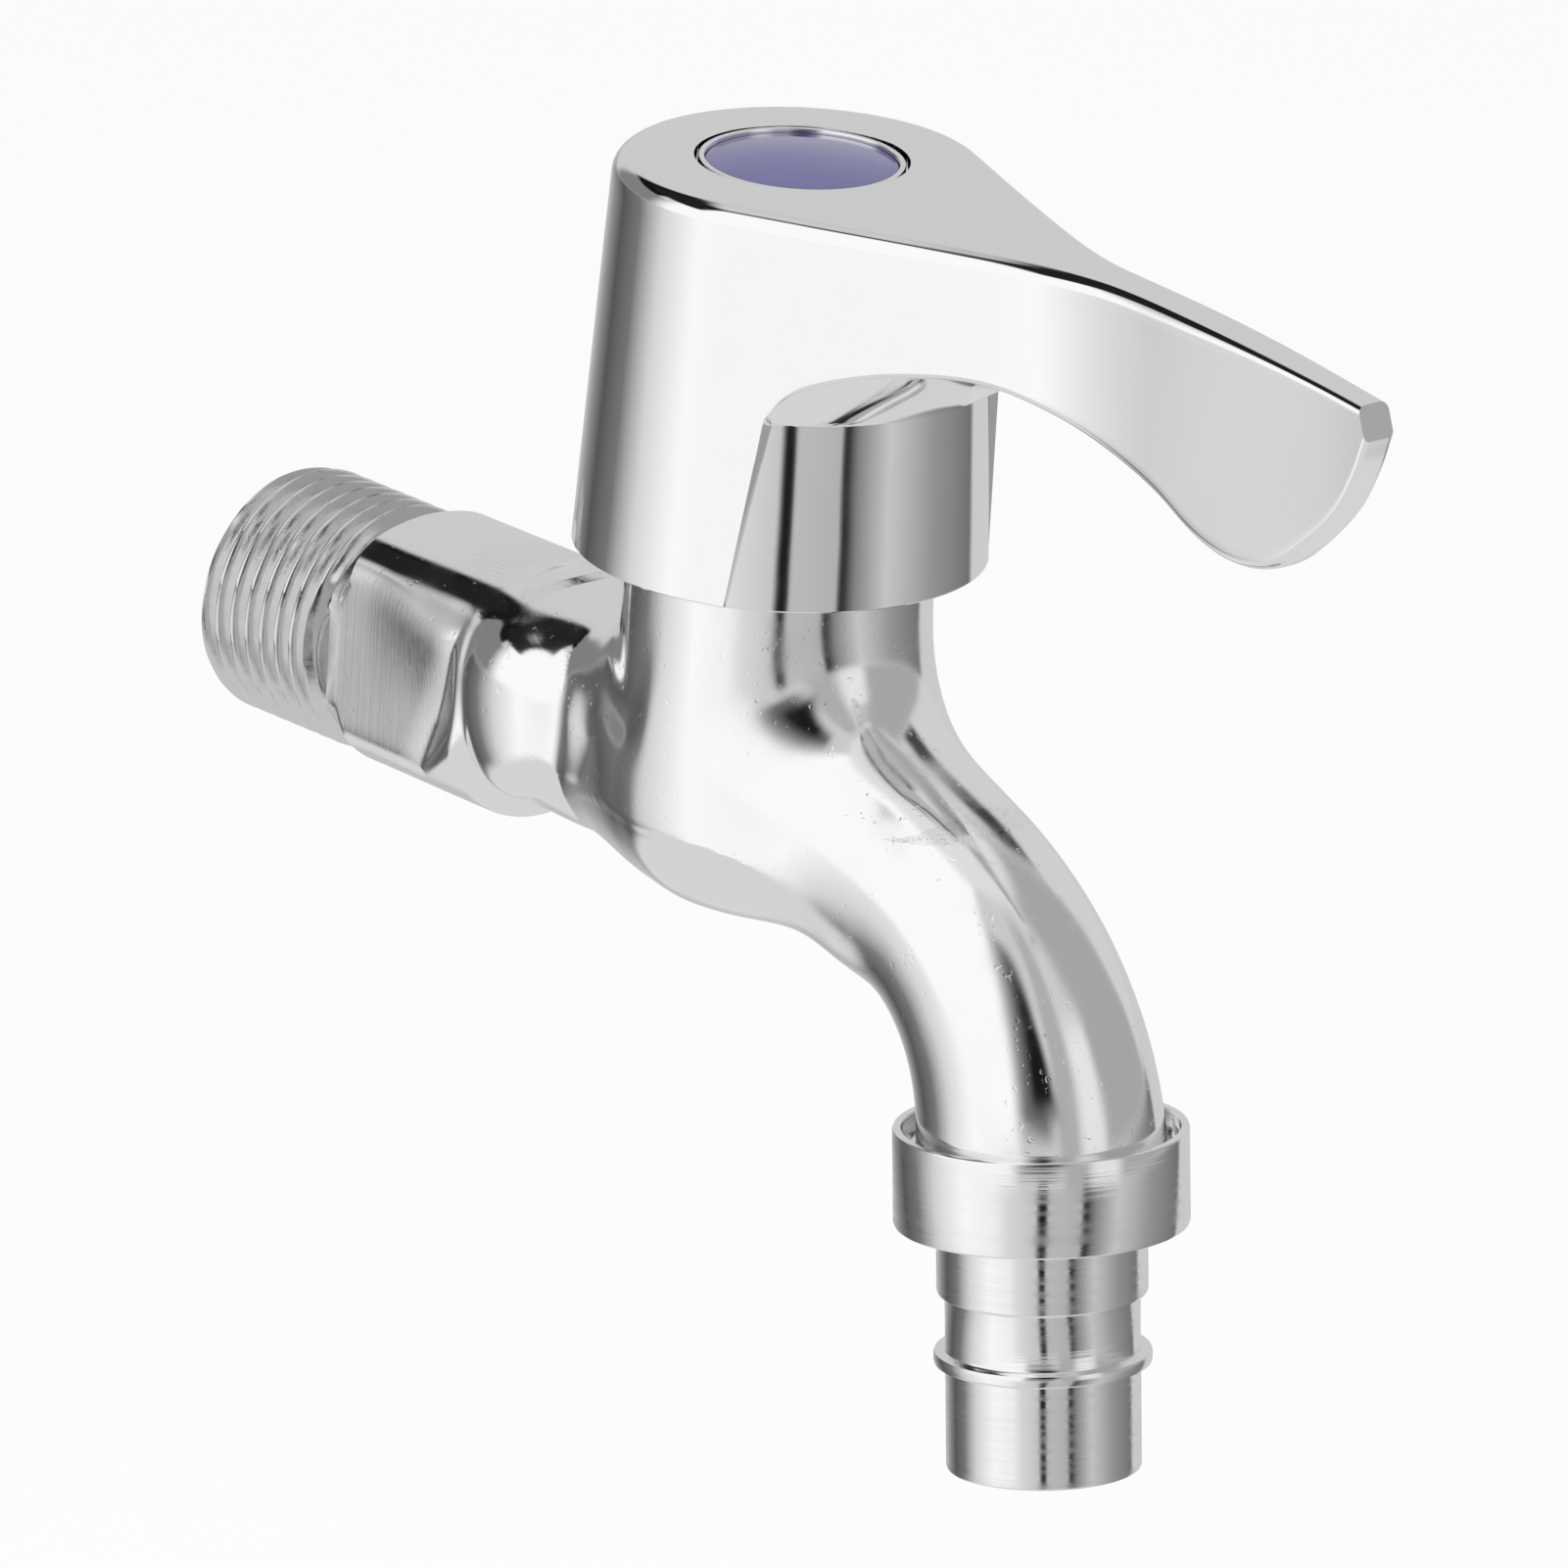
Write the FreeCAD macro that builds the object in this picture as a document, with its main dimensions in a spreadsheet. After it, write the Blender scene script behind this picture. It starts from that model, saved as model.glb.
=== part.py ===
import FreeCAD, Part
import Sketcher
import math
import os
from FreeCAD import Vector, Placement, Rotation

# Wall-mounted lever tap. The origin is the centre of the shoulder where the wall thread starts.
# +Z is up along the valve axis, +Y points into the wall, and X = 0 is the plane of symmetry.

doc = FreeCAD.newDocument("lever_tap")
sheet = doc.addObject("Spreadsheet::Sheet", "Sizes")

# Driving dimensions in millimetres and degrees. Heights are above the inlet axis.
SIZES = [
    ("thread_radius", 10.4775),
    ("thread_length", 14.3),
    ("thread_chamfer", 1.0),
    ("thread_pitch", 1.814),
    ("thread_depth", 1.0),
    ("thread_crest", 0.5),
    ("inlet_bore", 6.5),
    ("inlet_bore_length", 24.0),
    ("valve_distance", 44.4),
    ("barrel_radius", 11.3),
    ("barrel_front_radius", 10.7),
    ("barrel_start", 2.2),
    ("barrel_end", 22.8),
    ("barrel_rounding", 2.0),
    ("undercut_radius", 9.6),
    ("spanner_width", 17.0),
    ("spanner_length", 13.5),
    ("spanner_runout", 4.0),
    ("barrel_lap", 4.0),
    ("waist_radius", 9.9),
    ("waist_reach", 10.0),
    ("chamber_lift", 0.4),
    ("chamber_radius", 11.8),
    ("chimney_radius", 12.65),
    ("chimney_top", 22.4),
    ("chimney_bore", 9.4),
    ("cavity_radius", 10.6),
    ("cavity_top", 13.4),
    ("passage_radius", 5.0),
    ("seat_height", 6.0),
    ("seat_bore", 4.5),
    ("spill_bore", 3.8),
    ("shoulder_radius", 7.5),
    ("shoulder_start", 13.2),
    ("shoulder_inset", 0.6),
    ("shoulder_width", 10.0),
    ("bend_radius", 21.6),
    ("bend_centre_reach", 13.4),
    ("bend_centre_drop", 23.3),
    ("slimmest_lean", 36.0),
    ("spout_neck_radius", 9.2),
    ("spout_end_radius", 10.65),
    ("spout_bore", 6.3),
    ("bore_start_lean", 24.0),
    ("spout_slope", 12.0),
    ("outlet_lean", 5.6),
    ("spigot_radius", 10.2),
    ("spigot_length", 4.4),
    ("collar_radius", 12.0),
    ("collar_height", 8.05),
    ("collar_mouth", 11.25),
    ("collar_mouth_depth", 2.2),
    ("collar_floor", 6.9),
    ("step_radius", 8.55),
    ("step_end", 13.8),
    ("groove_radius", 7.9),
    ("ring_radius", 8.85),
    ("ring_top", 18.6),
    ("ring_end", 19.7),
    ("hose_radius", 7.9),
    ("nozzle_end", 28.5),
    ("nozzle_bore", 5.4),
    ("washer_bore", 6.3),
    ("turned_bevel", 0.4),
    ("end_gap", 0.2),
    ("fit_gap", 0.1),
    ("running_gap", 0.05),
    ("soft_gap", 0.02),
    ("skirt_bottom", 20.0),
    ("skirt_radius", 16.9),
    ("skirt_top_radius", 15.2),
    ("skirt_wall", 2.3),
    ("skirt_hollow", 12.5),
    ("handle_top", 53.3),
    ("recess_radius", 8.75),
    ("recess_depth", 3.2),
    ("screw_well_radius", 4.2),
    ("screw_seat_height", 43.6),
    ("screw_hole_radius", 2.2),
    ("lever_reach", 68.8),
    ("lever_tip_thickness", 4.6),
    ("lever_waist_reach", 40.0),
    ("paddle_depth", 19.0),
    ("paddle_slant", 8.0),
    ("tip_drop", 3.0),
    ("tip_depth", 2.8),
    ("chamber_rise", 0.8),
    ("paddle_centre_reach", 54.5),
    ("arch_height", 42.6),
    ("arch_reach", 27.0),
    ("arch_foot_reach", 9.2),
    ("arch_foot_slant", 1.8),
    ("arch_foot_drop", 6.3),
    ("arch_shoulder_drop", 1.9),
    ("arch_fall_run", 20.5),
    ("arch_fall_drop", 5.9),
    ("web_angle", 22.5),
    ("web_blend", 8.9),
    ("top_rounding", 1.8),
    ("sleeve_radius", 6.4),
    ("sleeve_bottom", 33.6),
    ("sleeve_top", 42.4),
    ("spline_tip_radius", 3.95),
    ("spline_root_radius", 3.45),
    ("spline_bottom", 33.0),
    ("spindle_top", 42.2),
    ("spindle_radius", 4.0),
    ("spindle_collar_radius", 6.2),
    ("spindle_collar_height", 2.0),
    ("tap_hole_radius", 1.95),
    ("tap_hole_depth", 8.5),
    ("tongue_width", 3.4),
    ("tongue_length", 9.4),
    ("tongue_depth", 1.1),
    ("hex_width", 20.0),
    ("hex_height", 4.0),
    ("gland_radius", 6.3),
    ("gland_top", 30.6),
    ("cage_radius", 8.9),
    ("cage_bore", 7.6),
    ("cage_bottom", 7.2),
    ("window_width", 7.0),
    ("window_height", 3.4),
    ("disc_radius", 7.4),
    ("disc_height", 2.4),
    ("disc_port_radius", 1.9),
    ("disc_port_reach", 3.6),
    ("moving_disc_height", 2.6),
    ("seat_seal_radius", 7.2),
    ("seat_seal_bore", 5.4),
    ("seal_height", 2.0),
    ("backup_wall", 0.7),
    ("ring_cord", 1.4),
    ("upper_ring_height", 26.4),
    ("lower_ring_height", 21.6),
    ("bonnet_ring_cord", 1.3),
    ("glide_height", 0.6),
    ("clip_groove_radius", 3.2),
    ("clip_radius", 5.4),
    ("clip_thickness", 0.8),
    ("screw_radius", 1.9),
    ("screw_length", 9.0),
    ("screw_head_radius", 3.6),
    ("screw_head_height", 2.6),
    ("lock_washer_thickness", 0.9),
    ("lock_washer_radius", 3.7),
    ("bezel_gap", 0.35),
    ("bezel_height", 2.9),
    ("bezel_lip", 0.55),
    ("disc_cap_height", 1.3),
    ("disc_cap_dome", 1.1),
]


class Size:
    """A number together with the sheet expression that gives it."""

    def __init__(self, value, text):
        self.value = float(value)
        self.text = text

    def __add__(self, other):
        other = as_size(other)
        return Size(self.value + other.value, "(" + self.text + " + " + other.text + ")")

    def __sub__(self, other):
        other = as_size(other)
        return Size(self.value - other.value, "(" + self.text + " - " + other.text + ")")

    def __mul__(self, other):
        other = as_size(other)
        return Size(self.value * other.value, "(" + self.text + " * " + other.text + ")")

    def __truediv__(self, other):
        other = as_size(other)
        return Size(self.value / other.value, "(" + self.text + " / " + other.text + ")")


def as_size(value):
    """Turn a plain number into a Size."""
    if isinstance(value, Size):
        return value
    return Size(value, repr(float(value)))


size = {}
for row, (alias, value) in enumerate(SIZES, start=1):
    sheet.set("A%d" % row, alias)
    sheet.set("B%d" % row, str(value))
    sheet.setAlias("B%d" % row, alias)
    size[alias] = Size(value, "Sizes." + alias)
doc.recompute()

zero = as_size(0)
pieces = []


def mm(alias):
    """The plain number of a named size."""
    return size[alias].value


def set_size(target, prop, value):
    """Bind a property to the sheet."""
    target.setExpression(prop, as_size(value).text)


def origin_plane(body, role):
    """One of a body's own origin planes."""
    for feature in body.Origin.OriginFeatures:
        if feature.Role == role:
            return feature


def new_sketch(body, name, role="XZ_Plane"):
    """A sketch on one of the body's origin planes."""
    sketch = body.newObject("Sketcher::SketchObject", name)
    sketch.AttachmentSupport = (origin_plane(body, role), [""])
    sketch.MapMode = "FlatFace"
    return sketch


def place_point(sketch, line, point):
    """Tie the start of a line to the origin by two bound distances."""
    for kind, axis, value in (("DistanceX", -2, point[0]), ("DistanceY", -1, point[1])):
        if value is zero:
            sketch.addConstraint(Sketcher.Constraint("PointOnObject", line, 1, axis))
            continue
        index = sketch.addConstraint(
            Sketcher.Constraint(kind, -1, 1, line, 1, value.value))
        sketch.setExpression("Constraints[%d]" % index, value.text)


def draw_outline(sketch, points):
    """A closed polygon whose corners are bound to the sheet."""
    corners = [Vector(p[0].value, p[1].value, 0) for p in points]
    first = sketch.GeometryCount
    for start, end in zip(corners, corners[1:] + corners[:1]):
        sketch.addGeometry(Part.LineSegment(start, end), False)
    count = len(points)
    for k in range(count):
        after = first + (k + 1) % count
        sketch.addConstraint(Sketcher.Constraint("Coincident", first + k, 2, after, 1))
    for k, point in enumerate(points):
        place_point(sketch, first + k, point)


def draw_circle(sketch, x, y, radius):
    """A circle whose centre and radius are bound to the sheet."""
    centre = Vector(x.value, y.value, 0)
    index = sketch.addGeometry(Part.Circle(centre, Vector(0, 0, 1), radius.value), False)
    for kind, axis, value in (("DistanceX", -2, x), ("DistanceY", -1, y)):
        if value is zero:
            sketch.addConstraint(Sketcher.Constraint("PointOnObject", index, 3, axis))
            continue
        row = sketch.addConstraint(Sketcher.Constraint(kind, -1, 1, index, 3, value.value))
        sketch.setExpression("Constraints[%d]" % row, value.text)
    row = sketch.addConstraint(Sketcher.Constraint("Radius", index, radius.value))
    sketch.setExpression("Constraints[%d]" % row, radius.text)


def on_valve_axis(item):
    """Stand a piece on the valve axis."""
    item.Placement = Placement(Vector(0, -mm("valve_distance"), 0), Rotation())
    set_size(item, "Placement.Base.y", zero - size["valve_distance"])


def turned(label, outline):
    """A body turned about its own Z axis from a closed outline of radius and height."""
    body = doc.addObject("PartDesign::Body", label)
    body.Label = label
    sketch = new_sketch(body, label + "_outline")
    draw_outline(sketch, outline)
    spin = body.newObject("PartDesign::Revolution", label + "_turning")
    spin.Profile = sketch
    spin.ReferenceAxis = (sketch, ["V_Axis"])
    spin.Angle = 360
    sketch.Visibility = False
    body.Tip = spin
    doc.recompute()
    return body


def pocket(body, name, role, draw, depth=None, both=False):
    """Cut a sketched shape out of a body, to a depth or through all."""
    sketch = new_sketch(body, name + "_sketch", role)
    draw(sketch)
    doc.recompute()
    before = body.Shape.Volume
    cut = body.newObject("PartDesign::Pocket", name)
    cut.Profile = sketch
    if depth is None:
        cut.Type = "ThroughAll"
        cut.Midplane = both
    else:
        cut.Type = "Length"
        set_size(cut, "Length", depth)
    body.Tip = cut
    doc.recompute()
    if body.Shape.Volume >= before - 1e-6:
        cut.Reversed = True
        doc.recompute()
    if body.Shape.Volume >= before - 1e-6:
        raise RuntimeError(name + " cuts nothing")
    return cut


def around(body, feature, name, count):
    """Repeat a feature evenly about the body's Z axis."""
    pattern = body.newObject("PartDesign::PolarPattern", name)
    pattern.Originals = [feature]
    axis = [f for f in body.Origin.OriginFeatures if f.Role == "Z_Axis"][0]
    pattern.Axis = (axis, [""])
    pattern.Angle = 360
    pattern.Occurrences = count
    body.Tip = pattern
    doc.recompute()
    return pattern


def keep(item):
    """Put a finished piece on the list of pieces to write."""
    pieces.append(item)
    return item


def shape_piece(label, shape, at_valve=False):
    """A piece whose shape is worked out with solids, set on the valve axis if asked."""
    item = doc.addObject("Part::Feature", label)
    item.Label = label
    item.Shape = shape
    if at_valve:
        on_valve_axis(item)
    return keep(item)


def from_valve(reach, height):
    """A point in the plane of symmetry, by its reach in front of the valve axis and its height."""
    return Vector(0, -mm("valve_distance") - reach, height)


def bend_point(lean):
    """A point on the spout's bend where its centreline leans down by an angle."""
    turn = math.radians(lean)
    reach = mm("bend_centre_reach") + mm("bend_radius") * math.sin(turn)
    height = -mm("bend_centre_drop") + mm("bend_radius") * math.cos(turn)
    return from_valve(reach, height)


# The wall thread is cut as rings. The last one stops short of the shoulder.
THREAD_TURNS = 7

outlet_slope = 90 - mm("outlet_lean")
spout_end = bend_point(outlet_slope)
outlet_down = Vector(0, -math.sin(math.radians(mm("outlet_lean"))),
                     -math.cos(math.radians(mm("outlet_lean"))))
collar_lap = mm("collar_mouth_depth") - mm("end_gap")
collar_top = spout_end - outlet_down * collar_lap


def tube_section(point, radius, lean):
    """A round section of the cast tube, square to a centreline that leans down by an angle."""
    section = Part.makeCircle(radius)
    section.Placement = Placement(point, Rotation(Vector(1, 0, 0), 90 + lean))
    return Part.Wire([section])


def cast_tube():
    """The waist, the chamber and the bent spout as one smooth skin through round sections."""
    slope = mm("spout_slope")
    waist = mm("waist_radius")
    chamber = mm("chamber_radius")
    neck = mm("spout_neck_radius")
    end = mm("spout_end_radius")
    lift = mm("chamber_lift")
    slimmest = mm("slimmest_lean")
    start = bend_point(slope)
    sections = [
        tube_section(Vector(0, -mm("barrel_end") + mm("barrel_lap"), 0), waist, 0),
        tube_section(from_valve(-mm("waist_reach"), 0), (waist + chamber) / 2, 0),
        tube_section(from_valve(0, lift), chamber, slope / 2),
    ]
    for run, swell in ((0.5, 0.75), (0.8, 0.38)):
        reach = (-start.y - mm("valve_distance")) * run
        height = lift + (start.z - lift) * run
        sections.append(tube_section(from_valve(reach, height),
                                     neck + (chamber - neck) * swell, slope))
    for lean in (22, slimmest, 50, 67, outlet_slope):
        swell = max(0.0, (lean - slimmest) / (outlet_slope - slimmest)) ** 1.15
        sections.append(tube_section(bend_point(lean), neck + (end - neck) * swell, lean))
    return Part.makeLoft(sections, True, False)


def thread_outline(start):
    """The thread's half section as rings, from its first crest to the shoulder behind it."""
    crest = mm("thread_radius")
    root = crest - mm("thread_depth")
    pitch = mm("thread_pitch")
    land = mm("thread_crest")
    points = [Vector(crest, start, 0)]
    for turn in range(THREAD_TURNS):
        edge = start - turn * pitch - land
        points += [Vector(crest, edge, 0), Vector(root, edge - (pitch - land) / 2, 0),
                   Vector(crest, edge - pitch + land, 0)]
    points += [Vector(crest, 0, 0), Vector(mm("undercut_radius"), 0, 0)]
    return [Part.LineSegment(a, b) for a, b in zip(points, points[1:])]


def wall_end():
    """The wall thread's rings, its undercut and the rounded barrel, turned about the inlet axis."""
    thread = mm("thread_radius")
    tip = mm("thread_length")
    bevel = mm("thread_chamfer")
    barrel = mm("barrel_radius")
    round_off = mm("barrel_rounding")
    last = mm("barrel_end")
    corner = round_off * (1 - math.sqrt(0.5))
    across = [
        Part.LineSegment(Vector(0, tip, 0), Vector(thread - bevel, tip, 0)),
        Part.LineSegment(Vector(thread - bevel, tip, 0), Vector(thread, tip - bevel, 0)),
        *thread_outline(tip - bevel),
        Part.LineSegment(Vector(mm("undercut_radius"), 0, 0),
                         Vector(mm("undercut_radius"), -mm("barrel_start") / 2, 0)),
        Part.LineSegment(Vector(mm("undercut_radius"), -mm("barrel_start") / 2, 0),
                         Vector(mm("barrel_front_radius"), -mm("barrel_start"), 0)),
        Part.LineSegment(Vector(mm("barrel_front_radius"), -mm("barrel_start"), 0),
                         Vector(barrel, -last + round_off, 0)),
        Part.Arc(Vector(barrel, -last + round_off, 0),
                 Vector(barrel - corner, -last + corner, 0),
                 Vector(barrel - round_off, -last, 0)),
        Part.LineSegment(Vector(barrel - round_off, -last, 0), Vector(0, -last, 0)),
        Part.LineSegment(Vector(0, -last, 0), Vector(0, tip, 0)),
    ]
    face = Part.Face(Part.Wire([edge.toShape() for edge in across]))
    return face.revolve(Vector(0, 0, 0), Vector(0, 1, 0), 360)


def spanner_cut(side):
    """The stock milled off one side of the barrel, with the cutter's round run-out."""
    half = mm("spanner_width") / 2
    deep = mm("barrel_radius") + 1
    reach = mm("spanner_length")
    block = Part.makeBox(deep - half, reach, 2 * deep, Vector(half, -reach, -deep))
    runout = Part.makeCylinder(mm("spanner_runout"), 2 * deep,
                               Vector(half + mm("spanner_runout"), -reach, -deep))
    cut = block.fuse(runout)
    if side < 0:
        cut = cut.mirror(Vector(0, 0, 0), Vector(1, 0, 0))
    return cut


def water_way():
    """Everything bored out of the casting, from the wall end to the spout's mouth."""
    valve = mm("valve_distance")
    axis = Vector(0, -valve, 0)
    tip = mm("thread_length")
    seat = mm("seat_height")
    bore_end = tip - mm("inlet_bore_length")
    inlet = Part.makeCylinder(mm("inlet_bore"), mm("inlet_bore_length"),
                              Vector(0, tip, 0), Vector(0, -1, 0))
    passage = Part.makeCylinder(mm("passage_radius"), bore_end + valve + mm("seat_bore"),
                                Vector(0, bore_end, 0), Vector(0, -1, 0))
    rise = Part.makeCylinder(mm("seat_bore"), seat, axis)
    cavity = Part.makeCylinder(mm("cavity_radius"), mm("cavity_top") - seat,
                               axis + Vector(0, 0, seat))
    chimney = Part.makeCylinder(mm("chimney_bore"), mm("chimney_top") - mm("cavity_top"),
                                axis + Vector(0, 0, mm("cavity_top")))
    pocket_depth = mm("bonnet_ring_cord")
    ring_seat = Part.makeCylinder(mm("chimney_bore") + pocket_depth + 2 * mm("fit_gap"),
                                  pocket_depth + mm("soft_gap"),
                                  axis + Vector(0, 0, mm("chimney_top")), Vector(0, 0, -1))
    spill_start = from_valve(mm("seat_bore") + mm("spill_bore"), seat + mm("spill_bore") / 2)
    first = mm("bore_start_lean")
    start = bend_point(first)
    run = start - spill_start
    spill = Part.makeCylinder(mm("spill_bore"), run.Length, spill_start, run)
    joint = Part.makeSphere(mm("spout_bore"), start)
    middle = bend_point((first + outlet_slope) / 2)
    arc = Part.Arc(start, middle, bend_point(outlet_slope)).toShape()
    section = tube_section(start, mm("spout_bore"), first)
    bend = Part.Wire([arc]).makePipeShell([section], True, False)
    mouth = Part.makeCylinder(mm("spout_bore"), mm("spigot_length"), spout_end, outlet_down)
    parts = [passage, rise, cavity, chimney, ring_seat, spill, joint, bend, mouth]
    return inlet.multiFuse(parts)


def chimney_shoulder():
    """The hollow sweep that carries the chimney out onto the tube, in front and behind."""
    radius = mm("shoulder_radius")
    core = mm("seat_bore") / 2
    centre = Vector(mm("chimney_radius") - mm("shoulder_inset") + radius, 0, mm("shoulder_start"))

    def on_sweep(angle):
        turn = math.radians(angle)
        return centre - Vector(radius * math.cos(turn), 0, radius * math.sin(turn))

    top = on_sweep(8)
    foot = on_sweep(70)
    corners = [foot, Vector(foot.x, 0, 0), Vector(core, 0, 0), Vector(core, 0, top.z), top]
    edges = [Part.Arc(top, on_sweep(40), foot)]
    edges += [Part.LineSegment(a, b) for a, b in zip(corners, corners[1:])]
    face = Part.Face(Part.Wire([edge.toShape() for edge in edges]))
    sweep = face.revolve(Vector(0, 0, 0), Vector(0, 0, 1), 360)
    half = mm("shoulder_width")
    saddle = Part.makeCylinder(half, 2 * centre.x, Vector(0, -centre.x, centre.z - half),
                               Vector(0, 1, 0))
    shoulder = sweep.common(saddle)
    shoulder.translate(Vector(0, -mm("valve_distance"), 0))
    return shoulder


def make_tap_body():
    """The cast body, as the photo shows it, with its water way."""
    valve = mm("valve_distance")
    axis = Vector(0, -valve, 0)
    chimney = Part.makeCylinder(mm("chimney_radius"), mm("chimney_top"), axis)
    ball = Part.makeSphere(mm("chimney_radius"), axis + Vector(0, 0, mm("chamber_rise")))
    chimney = chimney.cut(Part.makeCylinder(2 * ball.BoundBox.XMax, mm("chamber_rise"), axis))
    chimney = chimney.fuse(ball).removeSplitter()
    spigot = Part.makeCylinder(mm("spigot_radius"), mm("spigot_length"), spout_end, outlet_down)
    outside = cast_tube().fuse(spigot)
    outside = outside.fuse(chimney)
    outside = outside.fuse(chimney_shoulder())
    outside = outside.fuse(wall_end().cut(spanner_cut(1)).cut(spanner_cut(-1)))
    return outside.cut(water_way())


shape_piece("tap_body", make_tap_body())

# Turned hose nozzle, screwed over the spout's end. Its own origin is the centre of the collar's top.


def below(alias):
    """A height below the collar's top."""
    return zero - size[alias]


bevel = size["turned_bevel"]
nozzle_thread = size["spigot_radius"] + size["fit_gap"]
nozzle = turned("hose_nozzle", [
    (size["collar_mouth"], zero),
    (size["collar_radius"] - bevel, zero),
    (size["collar_radius"], zero - bevel),
    (size["collar_radius"], below("collar_height") + bevel),
    (size["collar_radius"] - bevel, below("collar_height")),
    (size["step_radius"], below("collar_height")),
    (size["step_radius"], below("step_end") + bevel),
    (size["step_radius"] - bevel, below("step_end")),
    (size["groove_radius"], below("step_end")),
    (size["groove_radius"], below("ring_top")),
    (size["ring_radius"], below("ring_top")),
    (size["ring_radius"], below("ring_end")),
    (size["hose_radius"], below("ring_end")),
    (size["hose_radius"], below("nozzle_end") + bevel),
    (size["hose_radius"] - bevel, below("nozzle_end")),
    (size["nozzle_bore"], below("nozzle_end")),
    (size["nozzle_bore"], below("collar_floor")),
    (nozzle_thread, below("collar_floor")),
    (nozzle_thread, below("collar_mouth_depth")),
    (size["collar_mouth"], below("collar_mouth_depth")),
])
nozzle.Placement = Placement(collar_top, Rotation(Vector(1, 0, 0), -mm("outlet_lean")))
keep(nozzle)

spigot_end = size["collar_mouth_depth"] - size["end_gap"] + size["spigot_length"]
nozzle_washer = turned("nozzle_washer", [
    (size["washer_bore"], zero - spigot_end),
    (size["spigot_radius"], zero - spigot_end),
    (size["spigot_radius"], below("collar_floor")),
    (size["washer_bore"], below("collar_floor")),
])
nozzle_washer.Placement = nozzle.Placement
keep(nozzle_washer)

# Quarter-turn headwork on the valve axis. Heights are stacked up from the seat.

seal_top = size["seat_height"] + size["seal_height"]
fixed_top = seal_top + size["disc_height"]
moving_top = fixed_top + size["moving_disc_height"]
collar_base = moving_top + size["running_gap"]
collar_roof = collar_base + size["spindle_collar_height"]
cage_roof = collar_roof + size["glide_height"] + size["running_gap"]
stem = size["spindle_radius"]
gland_bore = stem + size["running_gap"]
thread_radius = size["chimney_bore"] - size["fit_gap"]

seal = turned("seat_seal", [
    (size["seat_seal_bore"], size["seat_height"]),
    (size["seat_seal_radius"], size["seat_height"]),
    (size["seat_seal_radius"], seal_top),
    (size["seat_seal_bore"], seal_top),
])
backup_outer = size["seat_seal_bore"] - size["soft_gap"]
backup = turned("seal_backup_ring", [
    (backup_outer - size["backup_wall"], size["seat_height"]),
    (backup_outer, size["seat_height"]),
    (backup_outer, seal_top),
    (backup_outer - size["backup_wall"], seal_top),
])


def ports(sketch):
    """The two ports of a ceramic disc."""
    for side in (1, -1):
        draw_circle(sketch, size["disc_port_reach"] * side, zero, size["disc_port_radius"])


def cross_ports(sketch):
    """The same two ports a quarter turn on, so that the tap is shut at rest."""
    for side in (1, -1):
        draw_circle(sketch, zero, size["disc_port_reach"] * side, size["disc_port_radius"])


fixed = turned("fixed_disc", [
    (zero, seal_top),
    (size["disc_radius"], seal_top),
    (size["disc_radius"], fixed_top),
    (zero, fixed_top),
])
pocket(fixed, "fixed_ports", "XY_Plane", ports, None, True)

moving = turned("moving_disc", [
    (zero, fixed_top),
    (size["disc_radius"], fixed_top),
    (size["disc_radius"], moving_top),
    (zero, moving_top),
])
pocket(moving, "moving_ports", "XY_Plane", cross_ports, None, True)


def upright_box(half_width, low, high):
    """A drawing function for a rectangle about the axis, between two heights."""
    def draw(sketch):
        draw_outline(sketch, [(zero - half_width, low), (half_width, low),
                              (half_width, high), (zero - half_width, high)])
    return draw


tongue_base = moving_top - size["tongue_depth"]
slot_half = size["tongue_width"] / 2 + size["running_gap"]
pocket(moving, "tongue_slot", "XZ_Plane",
       upright_box(slot_half, tongue_base - size["running_gap"], moving_top + as_size(1)),
       None, True)

# The blank is a little wider than the corners of its hexagon.
hex_blank = size["hex_width"] * 0.57

housing = turned("bonnet_housing", [
    (size["cage_bore"], size["cage_bottom"]),
    (size["cage_radius"], size["cage_bottom"]),
    (size["cage_radius"], size["cavity_top"]),
    (thread_radius, size["cavity_top"]),
    (thread_radius, size["chimney_top"]),
    (hex_blank, size["chimney_top"]),
    (hex_blank, size["chimney_top"] + size["hex_height"]),
    (size["gland_radius"], size["chimney_top"] + size["hex_height"]),
    (size["gland_radius"], size["gland_top"]),
    (gland_bore, size["gland_top"]),
    (gland_bore, cage_roof),
    (size["cage_bore"], cage_roof),
])


def hex_side(sketch):
    """Stock beyond one flat of the hexagon."""
    flat = size["hex_width"] / 2
    wide = size["hex_width"]
    draw_outline(sketch, [(flat, zero - wide), (wide, zero - wide), (wide, wide), (flat, wide)])


def window(sketch):
    """One opening for the water in the wall of the cage, seen from the front."""
    half = size["window_width"] / 2
    low = fixed_top + size["end_gap"]
    draw_outline(sketch, [(zero - half, low), (half, low),
                          (half, low + size["window_height"]),
                          (zero - half, low + size["window_height"])])


pocket(housing, "cage_windows", "XZ_Plane", window, None, True)
hex_low = size["chimney_top"]
hex_sketch = new_sketch(housing, "hexagon_side", "XY_Plane")
hex_sketch.AttachmentOffset = Placement(Vector(0, 0, hex_low.value), Rotation())
set_size(hex_sketch, "AttachmentOffset.Base.z", hex_low)
hex_side(hex_sketch)
hex_cut = housing.newObject("PartDesign::Pocket", "hexagon_cut")
hex_cut.Profile = hex_sketch
hex_cut.Type = "Length"
hex_cut.Reversed = True
set_size(hex_cut, "Length", size["hex_height"])
housing.Tip = hex_cut
doc.recompute()
around(housing, hex_cut, "hexagon", 6)

groove_radius = stem - size["ring_cord"] * 0.8
groove_half = size["ring_cord"] / 2
slot_clip = size["gland_top"] + size["running_gap"]


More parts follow.
